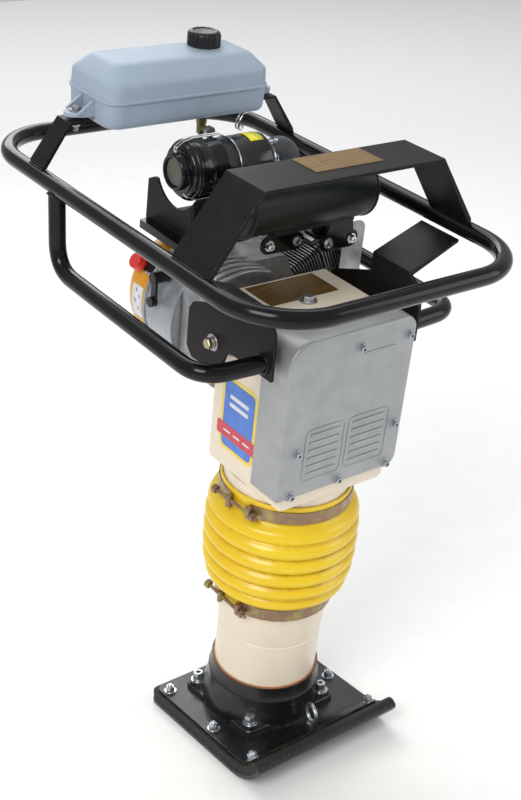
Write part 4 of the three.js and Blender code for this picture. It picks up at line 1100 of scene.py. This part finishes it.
def make_tank_ears():
    ear = ((136, 341), (160, 341), (176, 347), (184, 356), (184, 364), (176, 373), (160, 379), (136, 379))
    web = ((139, 926), (172, 926), (172, 928.5), (146, 947), (139, 949))
    bm = bmesh.new()
    for side, _ in SIDES:
        slab(bm, soften([(side * u, v) for u, v in ear], 8, 4, closed=True), 921.6, 928)
    piece("tank_ears", bm, "tank_blue", "handle", bevel=1.2)
    bm = bmesh.new()
    for side, _ in SIDES:
        for v in (343.5, 376.5):
            slab(bm, [(side * u, w) for u, w in web], v - 2.2, v + 2.2)
    swap_v_w = Matrix(((1, 0, 0, 0), (0, 0, 1, 0), (0, 1, 0, 0), (0, 0, 0, 1)))
    piece("tank_webs", bm, "tank_blue", "handle", at=swap_v_w, bevel=0.8)


def nut_on_a_stud(bm):
    hex_head(bm, 13, 0, 7, 0.2)
    revolve(bm, [(0, 6), (3.6, 6), (3.6, 14), (3, 15), (0, 15)], 20)


def make_tank_bolts():
    bolts = bmesh.new()
    nuts = bmesh.new()
    for side, _ in SIDES:
        stamp(bolts, axis_w(side * TANK_BOLT_U, TANK_BOLT_V, 928.2), bolt, 11, 4.6, 10.5, turn=0.5 * side)
        under = axis_w(side * TANK_BOLT_U, TANK_BOLT_V, 912.6) @ Matrix.Rotation(pi, 4, "X")
        stamp(nuts, under, nut_on_a_stud)
    piece("tank_bolts", bolts, "steel", "handle")
    piece("tank_nuts", nuts, "bright_zinc", "handle")


def grip_ribs(angle, r):
    """Twelve grooves in the rim of the fuel cap."""
    return r if r < 23.6 else r - 1.7 * max(0.0, cos(angle * 12)) ** 3


def make_fuel_cap():
    profile = [(21, 999.3), (25.6, 999.3), (25.6, 1016.5), (23.6, 1020.2), (20.4, 1022), (17.6, 1022),
               (15.8, 1020.4), (0, 1020)]
    piece("cap_shell", drawn(revolve, soften(profile, 1.4, 3), 192, shape=grip_ribs), "black_plastic",
          "fuel_cap", at=axis_w(*FUEL_CAP_AT), stands_for="tank_cap", sharp=40)
    bm = bmesh.new()
    revolve(bm, [(20.4, 997), (28, 997), (28, 998.6), (27.4, 999.2), (20.4, 999.2)], 64)
    piece("filler_collar", bm, "tank_blue", "handle", at=axis_w(*FUEL_CAP_AT))


def make_wire_clip():
    wire_r, near, far = 1.5, 310, 317
    line = ((114, 911), (100, 908.5), (93.5, 898), (90.8, 886), (96.7, 879.5), (99.8, 888))
    bm = bmesh.new()
    for v in (near, far):
        tube(bm, bent_path([(u, v, w) for u, w in line], 4, 5), wire_r, 10)
    for u, w in ((99.8, 888), (92.0, 892)):
        tube(bm, [(u, near, w), (u, far, w)], wire_r, 10)
    piece("tank_wire_clip", bm, "chrome", "handle", sharp=60)


# ---- handle
def make_tubes():
    path = []
    for u, v, start in ((127, -95, -90), (127, 425, 0), (-127, 425, 90), (-127, -95, 180)):
        path += at_height(arc_points(u, v, BAR_U - 127, start, start + 90, 20), LOOP_W)
    piece("loop_bar", drawn(tube, path, BAR_R, 32, closed=True), "gloss_black", "handle",
          stands_for="handle_loop", sharp=80)
    for side, name in SIDES:
        path = bent_path([(side * BAR_U, 306, LOOP_W - 2), (side * BAR_U, 300, LOW_BAR_W),
                          (side * BAR_U, -66, LOW_BAR_W), (side * 131, -72, LOW_BAR_W)], 46, 14)
        piece(f"lower_bar_{name}", drawn(tube, path, BAR_R, 28), "gloss_black", "handle",
              stands_for=f"lower_tube_{name}", sharp=80)


def weld_bead(bm, path, radius=1.9):
    """A run of overlapping ripples."""
    line = []
    pts = [Vector(p) for p in path]
    for a, b in zip(pts, pts[1:]):
        steps = max(2, int((b - a).length / 1.2))
        line += [a.lerp(b, k / steps) for k in range(steps)]
    line.append(pts[-1])
    radii = [radius * (0.82 + 0.22 * abs(sin(i * 0.9))) for i in range(len(line))]
    tube(bm, line, radii, 8)


def make_welds():
    """Round both ends of each lower bar, and straight runs at the guard, the uprights and the plates."""
    runs = ((227, -61, 11, 853, 1.7), (220.5, -61, 11, 853.4, 1.7), (229, 342, 378, 853, 1.6),
            (214.6, -91, 12, 833, 1.7))
    turn = [TAU * k / 36 for k in range(37)]
    bm = bmesh.new()
    for side, _ in SIDES:
        weld_bead(bm, [(side * BAR_U + 13 * cos(a), 305.8 + 13 * sin(a), 828.8 + 2.6 * cos(2 * a))
                       for a in turn])
        weld_bead(bm, [(side * 131.5, -72 + 13.2 * cos(a), LOW_BAR_W + 13.2 * sin(a)) for a in turn])
        for u, v0, v1, w, radius in runs:
            weld_bead(bm, [(side * u, v0, w), (side * u, v1, w)], radius)
    piece("welds", bm, "gloss_black", "handle", sharp=80)


def make_mounts():
    """On each side a waisted rubber between two discs, held by a gold bolt on washers."""
    low, height = 104.9, 15.6
    waist = [(24.5 - 3.4 * sin(pi * i / 14), low + height * i / 14) for i in range(15)]
    for side, name in SIDES:
        at = on_side(side, axis_u(0, MOUNT_V, MOUNT_W))
        piece(f"mount_rubber_{name}", drawn(revolve, [(0, low), *waist, (0, low + height)], 48),
              "black_rubber", at=at, stands_for=f"rubber_mount_{name}")
        bm = bmesh.new()
        for near, far in ((100.9, 104.8), (120.6, 124.6)):
            revolve(bm, soften([(0, near), (26, near), (26, far), (0, far)], 0.8, 2), 48)
        piece(f"mount_discs_{name}", bm, "steel", at=at)
        piece(f"mount_washers_{name}", drawn(bolt, 14, 7, 12.5, turn=0.35, spring=True), "steel",
              at=on_side(side, axis_u(130.2, MOUNT_V, MOUNT_W)))
        piece(f"mount_bolt_{name}", drawn(hex_head, 14.2, 134.6, 7.6, 0.35), "gold_bolt", at=at)


def make_guard_plate():
    name_plate("guard_plate", (-50, 65, -42.6, 10), 957, "plate_gold", "handle")


def make_hose():
    """The route of the CAD hose, from the fuel cock to the carburettor."""
    path = smooth_path([(24, 314, 876), (24, 314.4, 866), (28, 315, 846), (54, 316, 826), (118, 312, 800),
                        (158, 286, 772), (156, 248, 747), (136.4, 226, 742), (130, 223, 742)], 8)
    obj = piece("hose_tube", drawn(tube, path, 4.6, 20), "hose_clear", "handle", stands_for="fuel_hose",
                loose=True, sharp=80)
    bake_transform(obj)


make_leg()
make_bellows()
make_springs()
make_foot_fasteners()
make_cover()
make_cover_relief()
make_cover_screws()
make_decal()
make_case_details()
make_cylinder()
make_block_ribs()
make_muffler()
make_muffler_mounts()
make_air_cap()
make_air_body()
make_air_bails()
make_bracket_lip()
make_elbow()
make_recoil()
make_starter_sticker()
make_switch_plate()
make_blower_details()
make_tank()
make_tank_ears()
make_tank_bolts()
make_fuel_cap()
make_wire_clip()
make_tubes()
make_welds()
make_mounts()
make_guard_plate()
make_hose()
